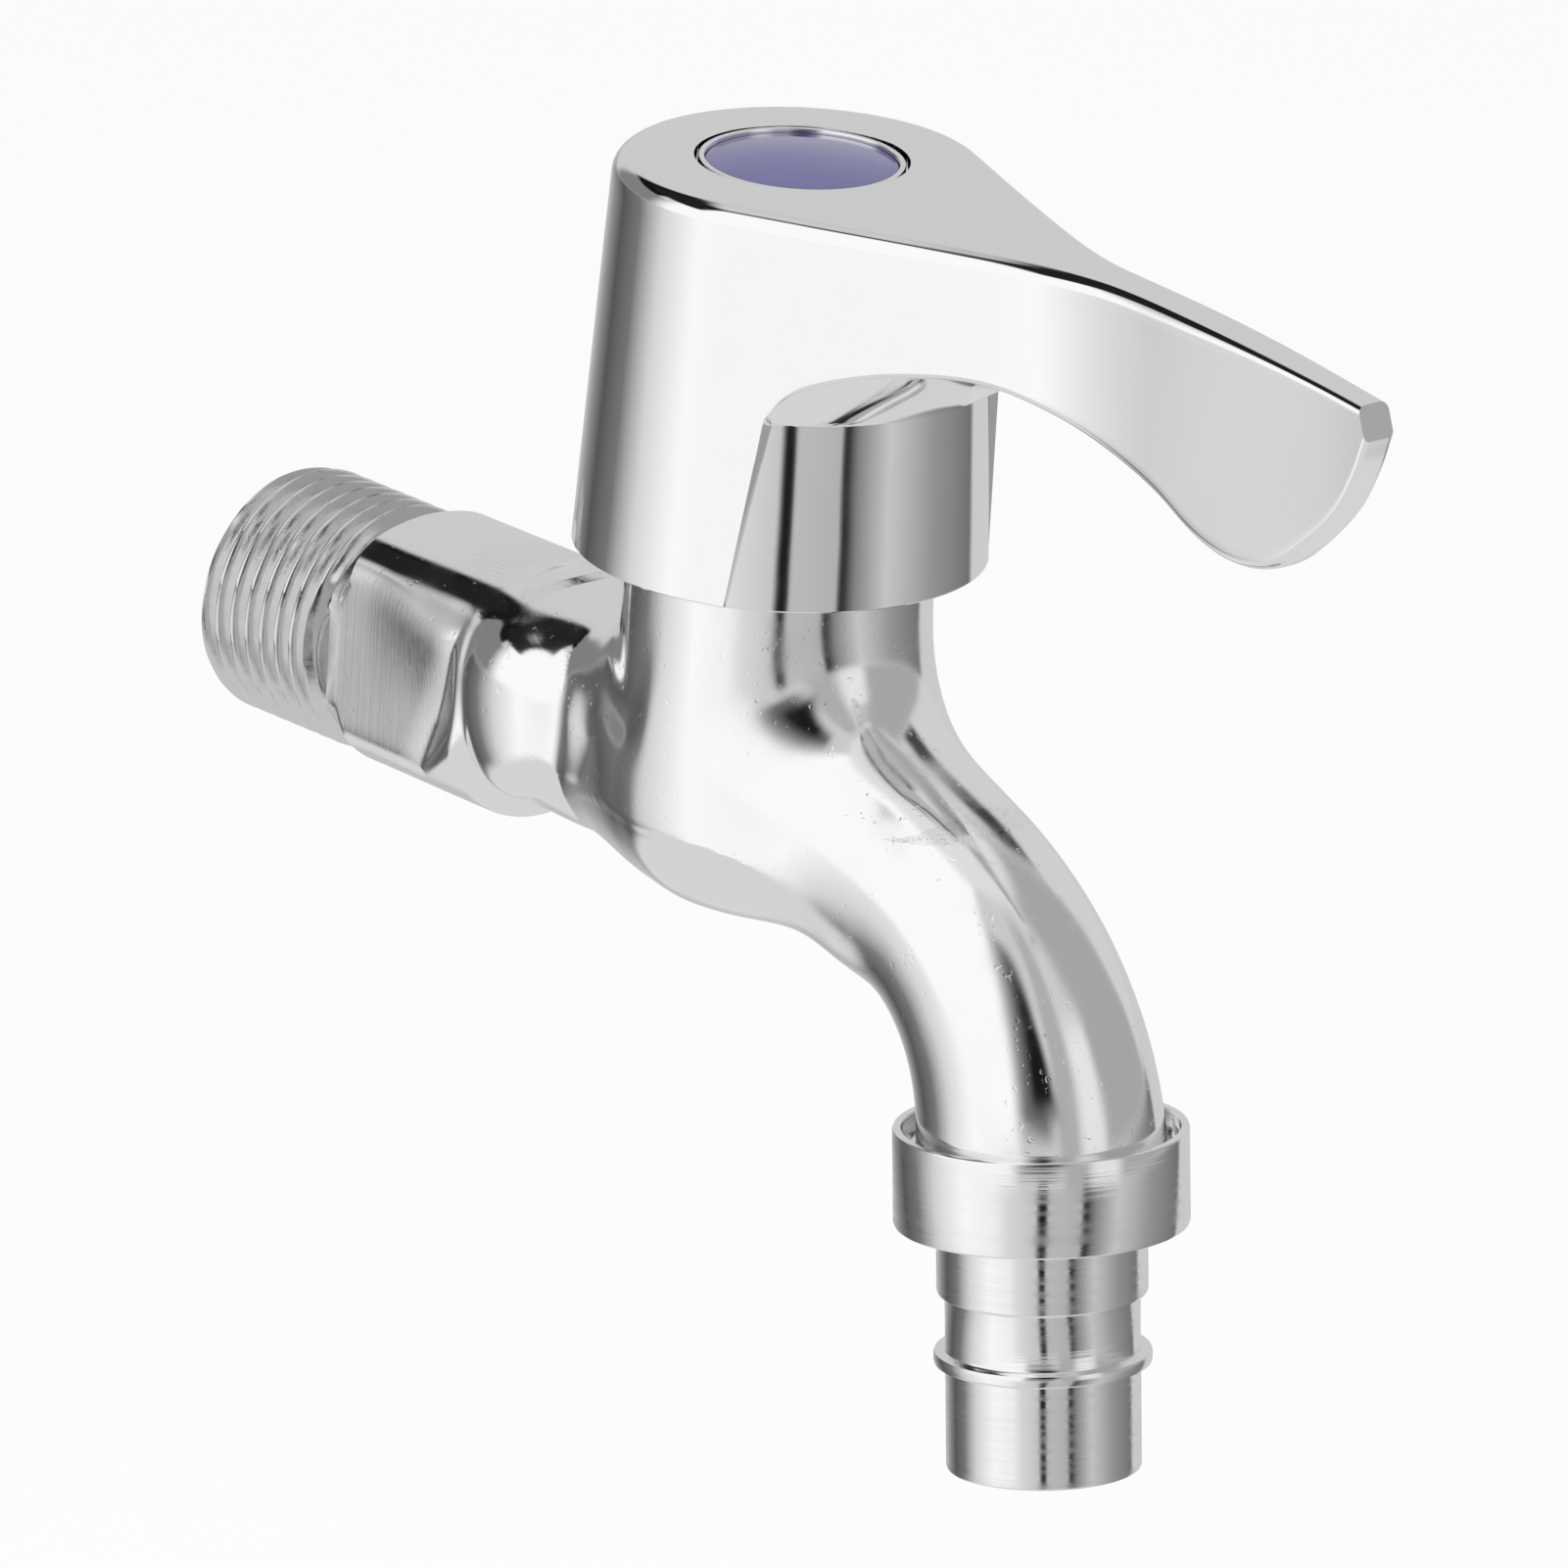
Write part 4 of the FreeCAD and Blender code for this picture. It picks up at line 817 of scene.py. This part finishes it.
def math_node(nodes, links, operation, *values):
    """One arithmetic node whose inputs are sockets or numbers."""
    node = nodes.new("ShaderNodeMath")
    node.operation = operation
    for socket, value in zip(node.inputs, values):
        feed(links, socket, value)
    return node.outputs[0]


def blend_colours(nodes, links, amount, a, b):
    """Colour a where the amount is 0 and b where it is 1."""
    mixer = nodes.new("ShaderNodeMix")
    mixer.data_type = "RGBA"
    for index, value in ((0, amount), (6, a), (7, b)):
        feed(links, mixer.inputs[index], value)
    return mixer.outputs[2]


def mix_shaders(nodes, links, amount, a, b):
    """Shader a where the amount is 0 and b where it is 1."""
    mixer = nodes.new("ShaderNodeMixShader")
    for socket, value in zip(mixer.inputs, (amount, a, b)):
        links.new(value, socket)
    return mixer.outputs["Shader"]


# %% The handle's mirror chrome
def polished_chrome(name, tint, waviness, smooth, haze):
    """Chrome over a polished casting: broad waves that bend the mirror a little, and patches
    where the gloss goes from smooth to haze."""
    finish, nodes, links, shader = new_finish(name, tint, 1.0, smooth)
    at = place(nodes)
    waves = noise(nodes, links, at, 110.0, 1.0)
    normal = bump(nodes, links, waves, waviness, 0.0006)
    links.new(normal, shader.inputs["Normal"])
    patches = noise(nodes, links, at, 160.0, 5.0, 0.65)
    links.new(spread(nodes, links, patches, 0.45, 0.75, smooth, haze), shader.inputs["Roughness"])
    return finish, nodes, links, shader, normal


handle_chrome = polished_chrome("handle chrome", (0.95, 0.955, 0.965), 0.06, 0.05, 0.1)[0]
print("made", handle_chrome.name)


# %% [markdown]
# The body isn't one finish. The casting came out satin from the polisher's hands, the flats show
# fine lines where the cutter went up and down, the thread is duller, and in the bore the brass is
# bare. Four materials would need four sets of faces with hard borders. One material with masks
# does it without: each mask comes from a point's own place and the way that its skin faces.


# %% Where the body is milled, cut and bare
def mask(nodes, links, value, off, on):
    """0 where a value is at one mark or before it, 1 at the other, and a ramp between."""
    return spread(nodes, links, value, off, on, 0.0, 1.0)


def body_masks(nodes, links, at):
    """Masks of the milled flats, the cut thread and the bore. A flat faces sideways, lies between
    knob and thread, and is no farther out than 10 mm. The bore is a distance from the axis, the
    root of x squared plus z squared."""
    apart = nodes.new("ShaderNodeSeparateXYZ")
    links.new(at, apart.inputs["Vector"])
    x, y, z = apart.outputs
    facing = nodes.new("ShaderNodeSeparateXYZ")
    links.new(nodes.new("ShaderNodeTexCoord").outputs["Normal"], facing.inputs["Vector"])
    sideways = math_node(nodes, links, "ABSOLUTE", facing.outputs["X"])
    wide = math_node(nodes, links, "ABSOLUTE", x)
    cut = mask(nodes, links, y, -0.0016, -0.0010)
    flat = math_node(nodes, links, "SUBTRACT", 1, cut)
    for part in (mask(nodes, links, sideways, 0.90, 0.965), mask(nodes, links, y, -0.0165, -0.0145),
                 mask(nodes, links, wide, 0.0100, 0.0096)):
        flat = math_node(nodes, links, "MULTIPLY", flat, part)
    squared = math_node(nodes, links, "MULTIPLY", x, x)
    squared = math_node(nodes, links, "MULTIPLY_ADD", z, z, squared)
    from_axis = math_node(nodes, links, "SQRT", squared)
    bore = math_node(nodes, links, "MULTIPLY", mask(nodes, links, from_axis, 0.0072, 0.0070),
                     mask(nodes, links, y, -0.012, -0.011))
    return flat, cut, bore


# %% Cast chrome, milled flats, cut thread and bare bore
def body_chrome():
    """Satin chrome with small pits, lines along the height on the flats, a rough thread, and
    clouded brass in the bore. The height of the grain is the sum of the three, each times its
    mask, and the gloss goes from the casting's to a duller one where the metal was cut."""
    finish, nodes, links, shader, waves = polished_chrome(
        "cast chrome", (0.95, 0.955, 0.96), 0.24, 0.09, 0.22)
    at = place(nodes)
    flat, cut, bore = body_masks(nodes, links, at)
    squash = nodes.new("ShaderNodeMapping")
    squash.inputs["Scale"].default_value = (1.0, 1.0, 0.03)
    links.new(at, squash.inputs["Vector"])
    lines = noise(nodes, links, squash.outputs["Vector"], 3200.0, 2.0)
    speckle = noise(nodes, links, at, 900.0, 3.0)
    pitted = mask(nodes, links, noise(nodes, links, at, 1500.0, 2.0), 0.66, 0.74)
    height = math_node(nodes, links, "MULTIPLY", speckle, cut)
    height = math_node(nodes, links, "MULTIPLY_ADD", lines,
                       math_node(nodes, links, "MULTIPLY", flat, 0.5), height)
    height = math_node(nodes, links, "MULTIPLY_ADD", pitted, -0.4, height)
    links.new(bump(nodes, links, height, 0.25, 0.0001, waves), shader.inputs["Normal"])
    worn = math_node(nodes, links, "MAXIMUM", flat, cut)
    pale = blend_colours(nodes, links, worn, (0.95, 0.955, 0.96, 1), (0.78, 0.785, 0.78, 1))
    warm = blend_colours(nodes, links, speckle, (0.58, 0.42, 0.18, 1), (0.70, 0.53, 0.25, 1))
    links.new(blend_colours(nodes, links, bore, pale, warm), shader.inputs["Base Color"])
    smooth = shader.inputs["Roughness"].links[0].from_socket
    dull = spread(nodes, links, speckle, 0.3, 0.7, 0.14, 0.28)
    gloss = nodes.new("ShaderNodeMix")
    for index, value in ((0, worn), (2, smooth), (3, dull)):
        links.new(value, gloss.inputs[index])
    links.new(gloss.outputs[0], shader.inputs["Roughness"])
    return finish


cast_chrome = body_chrome()
print("made", cast_chrome.name, "with", len(cast_chrome.node_tree.nodes), "nodes")

# %% [markdown]
# A turned face carries rings about its axis, too fine to model. A noise that is squashed to a
# fiftieth across the axis and left alone along it makes them. The noise has to turn with the
# piece, so its space is moved to the nozzle's axis and leaned with it first.


# %% Turned chrome
def turned_chrome(name, axis_point, lean, pitch):
    """Chrome over fine turning rings: a band pattern along the axis, broken up by noise."""
    finish, nodes, links, shader = new_finish(name, (0.93, 0.935, 0.94), 1.0, 0.09)
    move = nodes.new("ShaderNodeMapping")
    move.vector_type = "TEXTURE"
    move.inputs["Location"].default_value = axis_point
    move.inputs["Rotation"].default_value = (-lean, 0, 0)
    links.new(place(nodes), move.inputs["Vector"])
    squash = nodes.new("ShaderNodeMapping")
    squash.inputs["Scale"].default_value = (0.02, 0.02, 1.0)
    links.new(move.outputs["Vector"], squash.inputs["Vector"])
    rings = noise(nodes, links, squash.outputs["Vector"], 1.0 / pitch, 2.0, 0.7)
    normal = bump(nodes, links, rings, 0.16, 0.00012)
    links.new(normal, shader.inputs["Normal"])
    streaks = noise(nodes, links, squash.outputs["Vector"], 0.4 / pitch, 1.0)
    links.new(spread(nodes, links, streaks, 0.35, 0.7, 0.06, 0.2), shader.inputs["Roughness"])
    return finish


nozzle_chrome = turned_chrome("turned chrome", tuple(COLLAR_TOP * MM), LEAN, 0.0003)
ring_chrome = turned_chrome("ring chrome", (0, -VALVE * MM, 0), 0.0, 0.0006)
print("made", nozzle_chrome.name, "and", ring_chrome.name)

# %% [markdown]
# The disc is moulded in plastic that is coloured right through. Nearly all of its look is gloss
# over an even colour, so the material is a coat over a base that clouds a very little.


# %% Violet disc
def disc_plastic():
    """Glossy moulded plastic whose colour clouds between a deeper and a paler violet-blue."""
    finish, nodes, links, shader = new_finish("violet disc", (0.1, 0.09, 0.26), 0.0, 0.12)
    shader.inputs["Coat Weight"].default_value = 0.6
    shader.inputs["Coat Roughness"].default_value = 0.03
    at = place(nodes)
    cloud = noise(nodes, links, at, 90.0, 2.0)
    ramp = nodes.new("ShaderNodeValToRGB")
    ramp.color_ramp.elements[0].color = (0.078, 0.068, 0.24, 1)
    ramp.color_ramp.elements[1].color = (0.125, 0.11, 0.33, 1)
    links.new(cloud, ramp.inputs["Fac"])
    links.new(ramp.outputs["Color"], shader.inputs["Base Color"])
    fine = noise(nodes, links, at, 700.0, 2.0)
    links.new(bump(nodes, links, fine, 0.02, 0.0001), shader.inputs["Normal"])
    links.new(spread(nodes, links, fine, 0.3, 0.7, 0.09, 0.16), shader.inputs["Roughness"])
    return finish


violet_disc = disc_plastic()
print("made", violet_disc.name)

# %% [markdown]
# Fifteen pieces inside show only when the tap is taken apart. Their CAD shapes are what they are
# on the real one, so they keep them, and each gets the finish of what it is made of: bare brass,
# plated steel, white nylon, lapped ceramic or moulded rubber.


# %% Finishes of the pieces inside
def inner_finish(name, dark, pale, metallic, rough_low, rough_high, scale, grain):
    """A plain finish for a hidden piece: clouded colour, uneven gloss and a fine grain."""
    finish, nodes, links, shader = new_finish(name, pale, metallic, rough_high)
    at = place(nodes)
    cloud = noise(nodes, links, at, scale, 4.0)
    ramp = nodes.new("ShaderNodeValToRGB")
    ramp.color_ramp.elements[0].position = 0.3
    ramp.color_ramp.elements[0].color = (*dark, 1)
    ramp.color_ramp.elements[1].position = 0.7
    ramp.color_ramp.elements[1].color = (*pale, 1)
    links.new(cloud, ramp.inputs["Fac"])
    links.new(ramp.outputs["Color"], shader.inputs["Base Color"])
    links.new(spread(nodes, links, cloud, 0.3, 0.7, rough_low, rough_high),
              shader.inputs["Roughness"])
    fine = noise(nodes, links, at, scale * 9, 3.0)
    links.new(bump(nodes, links, fine, grain, 0.00008), shader.inputs["Normal"])
    return finish


bare_brass = inner_finish("bare brass", (0.55, 0.38, 0.13), (0.72, 0.53, 0.22), 1.0,
                          0.22, 0.38, 260.0, 0.25)
plated_steel = inner_finish("plated steel", (0.42, 0.42, 0.42), (0.62, 0.62, 0.6), 1.0,
                            0.25, 0.4, 300.0, 0.2)
white_nylon = inner_finish("white nylon", (0.74, 0.74, 0.7), (0.84, 0.84, 0.81), 0.0,
                           0.45, 0.6, 200.0, 0.15)
ceramic = inner_finish("lapped ceramic", (0.8, 0.78, 0.72), (0.88, 0.87, 0.83), 0.0,
                       0.12, 0.22, 180.0, 0.05)
soft_rubber = inner_finish("moulded rubber", (0.018, 0.018, 0.018), (0.045, 0.045, 0.045), 0.0,
                           0.5, 0.72, 240.0, 0.3)

# %% [markdown]
# The new pieces take their finish in their mesh. A piece that keeps its CAD mesh takes it in the
# slots of its object, and its mesh is left as it came.

# %% Every piece gets its finish
for thing, finish in ((cast_body, cast_chrome), (lever_handle, handle_chrome),
                      (hose_end, nozzle_chrome), (cap_ring, ring_chrome),
                      (cap_disc, violet_disc)):
    thing.data.materials.append(finish)

INSIDE = {
    "bonnet_housing": bare_brass, "spindle": bare_brass, "retaining_clip": plated_steel,
    "handle_screw": plated_steel, "screw_lock_washer": plated_steel,
    "spline_sleeve": white_nylon, "glide_washer": white_nylon, "seal_backup_ring": white_nylon,
    "fixed_disc": ceramic, "moving_disc": ceramic, "seat_seal": soft_rubber,
    "bonnet_o_ring": soft_rubber, "spindle_o_ring_upper": soft_rubber,
    "spindle_o_ring_lower": soft_rubber, "nozzle_washer": soft_rubber,
}
for name, finish in INSIDE.items():
    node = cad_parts[name]
    for slot in node.material_slots:
        slot.link = "OBJECT"
        slot.material = finish
    print(name, "slots", len(node.material_slots), finish.name)

# %% [markdown]
# The photograph is a plain studio shot on white. Chrome shows little of itself, so what matters
# is the room that it mirrors. The room is written here as the things that stand in it: a broad
# soft box to the left of the camera, a grey wall to the right with a bright strip in it, a pale
# table, a dark ceiling over the wall end, and the dark gaps that draw thin black lines along the
# casting. Each thing has a place on the compass, counted in degrees to the left of the camera,
# and a lower and an upper rise, which is 0 at eye level, 1 overhead and -1 straight down.


# %% Tools for the room
def grey(shade):
    """A grey colour from a shade as the eye sees it, 0 black to 1 white."""
    light = shade ** 2.2
    return (light, light, light, 1)


world = bpy.data.worlds.new("room")
bpy.context.scene.world = world
world.use_nodes = True
nodes, links = world.node_tree.nodes, world.node_tree.links
direction = nodes.new("ShaderNodeTexCoord").outputs["Generated"]


def along(axis):
    """How far a direction goes along an axis: their dot product."""
    dot = nodes.new("ShaderNodeVectorMath")
    dot.operation = "DOT_PRODUCT"
    dot.inputs[1].default_value = axis
    links.new(direction, dot.inputs[0])
    return dot.outputs["Value"]


TO_CAMERA, TO_LEFT = (-0.6708, -0.7416, 0.0), (-0.7416, 0.6708, 0.0)
turn = math_node(nodes, links, "ARCTAN2", along(TO_LEFT), along(TO_CAMERA))
turn = math_node(nodes, links, "MULTIPLY", turn, 180 / math.pi)
rise = along((0, 0, 1))


def soft_edge(value, at, softness):
    """0 where a value is under a mark and 1 where it is over it, with a soft edge."""
    edge = nodes.new("ShaderNodeMapRange")
    edge.interpolation_type = "SMOOTHSTEP"
    edge.inputs["From Min"].default_value = at - softness / 2
    edge.inputs["From Max"].default_value = at + softness / 2
    links.new(value, edge.inputs["Value"])
    return edge.outputs["Result"]


def stands_in(room, middle, half, low, high, shade, soft=8.0, soft_rise=0.08, narrowing=0.0,
              lean=0.0):
    """The room with one more thing in it. The thing stands between two rises, goes so many
    degrees each way from its middle, and narrows and leans to the left by so many degrees for
    each unit of rise. How much of it is seen is the product of soft steps at its borders."""
    above = math_node(nodes, links, "SUBTRACT", rise, low)
    from_middle = math_node(nodes, links, "SUBTRACT", turn, middle)
    from_middle = math_node(nodes, links, "MULTIPLY_ADD", above, -lean, from_middle)
    away = math_node(nodes, links, "WRAP", from_middle, 180.0, -180.0)
    away = math_node(nodes, links, "ABSOLUTE", away)
    away = math_node(nodes, links, "MULTIPLY_ADD", above, narrowing, away)
    beside = math_node(nodes, links, "SUBTRACT", 1.0, soft_edge(away, half, soft))
    over = soft_edge(rise, low, soft_rise)
    under = math_node(nodes, links, "SUBTRACT", 1.0, soft_edge(rise, high, soft_rise))
    amount = math_node(nodes, links, "MULTIPLY", beside,
                       math_node(nodes, links, "MULTIPLY", over, under))
    return blend_colours(nodes, links, amount, room, grey(shade))


def compass_ramp(stops):
    """A ramp of shades round the compass, from -180 degrees to 180."""
    ramp = nodes.new("ShaderNodeValToRGB")
    marks = ramp.color_ramp.elements
    marks[0].color = grey(stops[0][1])
    marks[1].color = grey(stops[-1][1])
    marks[1].position = 1.0
    for angle, shade in stops[1:-1]:
        marks.new((angle + 180) / 360).color = grey(shade)
    links.new(math_node(nodes, links, "MULTIPLY_ADD", turn, 1 / 360, 0.5), ramp.inputs["Fac"])
    return ramp.outputs["Color"]


# %% The room as the chrome sees it
WALLS = [
    (-180, 0.80), (-133, 0.80), (-129, 0.44), (-92, 0.58), (-61, 0.78), (-42, 0.52), (-36, 0.22),
    (-33, 0.22), (-31, 0.70), (-6, 0.74), (-4, 0.14), (1, 0.14), (4, 0.78), (26, 0.86),
    (36, 0.96), (62, 1.0), (90, 0.84), (112, 0.46), (134, 0.34), (152, 0.56), (166, 0.72),
    (180, 0.78),
]
OVER_THE_WALLS = [
    dict(middle=-95, half=35, low=0.0, high=0.93, shade=0.65, soft=24.0),
    dict(middle=-51, half=11, low=-0.05, high=0.58, shade=0.91, soft=12.0, soft_rise=0.2),
    dict(middle=-27, half=9, low=-0.10, high=0.90, shade=0.68, soft=8.0),
    dict(middle=-147, half=20, low=-0.02, high=0.64, shade=0.82, soft=6.0),
    dict(middle=-144, half=12, low=0.67, high=0.84, shade=0.25, soft=10.0),
    dict(middle=124, half=24, low=-0.02, high=0.46, shade=0.50, soft=12.0),
    dict(middle=129, half=22, low=0.46, high=0.84, shade=0.10, soft=8.0),
    dict(middle=56, half=36, low=-0.20, high=0.97, shade=1.0, soft=12.0, soft_rise=0.12),
    dict(middle=106, half=34, low=0.60, high=0.88, shade=0.14, soft=8.0, soft_rise=0.06),
    dict(middle=4, half=15, low=0.08, high=0.80, shade=0.40, soft=16.0, narrowing=10.0),
    dict(middle=-6, half=13, low=0.20, high=0.72, shade=0.10, soft=10.0, soft_rise=0.2,
         narrowing=16.0, lean=10.0),
]

upper = grey(0.80)
for thing in OVER_THE_WALLS:
    upper = stands_in(upper, **thing)
TABLE, CEILING_SHADE = grey(0.84), grey(0.88)
room = blend_colours(nodes, links, soft_edge(rise, -0.02, 0.10), compass_ramp(WALLS), upper)
room = blend_colours(nodes, links, soft_edge(rise, -0.62, 0.10), TABLE, room)
room = blend_colours(nodes, links, soft_edge(rise, 0.94, 0.05), room, CEILING_SHADE)

# %% [markdown]
# Three kinds of ray meet the world. The camera's get plain white, glossy ones and those through
# glass get the room, and all others an even white light, so that the room's dark things don't
# darken pieces that aren't chrome.

# %% What the camera, the chrome and the light see of it
WHITE = (1, 1, 1, 1)
EVEN_LIGHT = 0.6
rays = nodes.new("ShaderNodeLightPath")
camera_ray = rays.outputs["Is Camera Ray"]
mirror_ray = math_node(nodes, links, "MAXIMUM", rays.outputs["Is Glossy Ray"],
                       rays.outputs["Is Transmission Ray"])
even = nodes["Background"]
even.inputs["Color"].default_value = WHITE
even.inputs["Strength"].default_value = EVEN_LIGHT
seen = nodes.new("ShaderNodeBackground")
links.new(blend_colours(nodes, links, camera_ray, room, WHITE), seen.inputs["Color"])
either = math_node(nodes, links, "MAXIMUM", camera_ray, mirror_ray)
links.new(mix_shaders(nodes, links, either, even.outputs["Background"],
                      seen.outputs["Background"]), nodes["World Output"].inputs["Surface"])
print("stops round the walls", len(WALLS), "things over them", len(OVER_THE_WALLS))

# %% [markdown]
# The floor is a wide pale sheet a little below the tap. To the camera most of it glows, so that
# it meets the white of the background without a line and still takes a soft shadow. The chrome
# doesn't mirror it, because the room above already holds the table that the chrome shows.

# %% The floor
FLOOR_HEIGHT, FLOOR_GLOW = -0.14, 0.88
bpy.ops.mesh.primitive_plane_add(size=8.0, location=(0, -0.04, FLOOR_HEIGHT))
floor = bpy.context.object
floor.name = "floor"
floor.visible_glossy = False
floor_finish, nodes, links, shader = new_finish("floor", (0.93, 0.93, 0.93), 0.0, 0.9)
shader.inputs["Specular IOR Level"].default_value = 0.0
cloud = noise(nodes, links, place(nodes), 8.0, 2.0)
links.new(spread(nodes, links, cloud, 0.3, 0.7, 0.86, 0.94), shader.inputs["Roughness"])
glow = nodes.new("ShaderNodeEmission")
glow.inputs["Strength"].default_value = 1.0
camera_ray = nodes.new("ShaderNodeLightPath").outputs["Is Camera Ray"]
amount = math_node(nodes, links, "MULTIPLY", camera_ray, FLOOR_GLOW)
links.new(mix_shaders(nodes, links, amount, shader.outputs["BSDF"], glow.outputs["Emission"]),
          nodes["Material Output"].inputs["Surface"])
floor.data.materials.append(floor_finish)


# %% Two soft lamps
def soft_light(name, place_at, aim, width, depth, power):
    """A rectangular soft box facing a point."""
    data = bpy.data.lights.new(name, "AREA")
    data.shape = "RECTANGLE"
    data.size, data.size_y, data.energy = width, depth, power
    lamp = bpy.data.objects.new(name, data)
    bpy.context.collection.objects.link(lamp)
    lamp.location = place_at
    lamp.rotation_euler = (Vector(aim) - Vector(place_at)).to_track_quat("-Z", "Y").to_euler()
    lamp.visible_glossy = False
    return lamp


soft_light("key light", (-0.7, -0.3, 0.6), (0, -0.04, 0), 0.6, 0.6, 5.0)
soft_light("fill light", (0.5, -0.7, 0.4), (0, -0.04, 0), 0.6, 0.6, 2.5)

# %% [markdown]
# The camera stands where the photographer's did. Its place and its long lens were found by
# fitting the round rims of skirt, cap, collar and thread to the ellipses in the picture, so the
# outline of the render falls on the outline of the photo.

# %% The camera
STAND = Vector((-1.739657, -1.910763, 0.871768))
TURNS = Euler([math.radians(angle) for angle in (71.1025, -3.1357, -41.9471)])
LENS = 763.84
camera_data = bpy.data.cameras.new("camera")
camera_data.sensor_width = 36.0
camera_data.lens = LENS
camera_data.clip_start, camera_data.clip_end = 0.1, 50.0
camera = bpy.data.objects.new("camera", camera_data)
bpy.context.collection.objects.link(camera)
camera.matrix_world = Matrix.LocRotScale(STAND, TURNS, None)
bpy.context.scene.camera = camera
bpy.context.scene.view_settings.view_transform = "Standard"
print("camera", round(STAND.length, 2), "m away, lens", LENS, "mm")
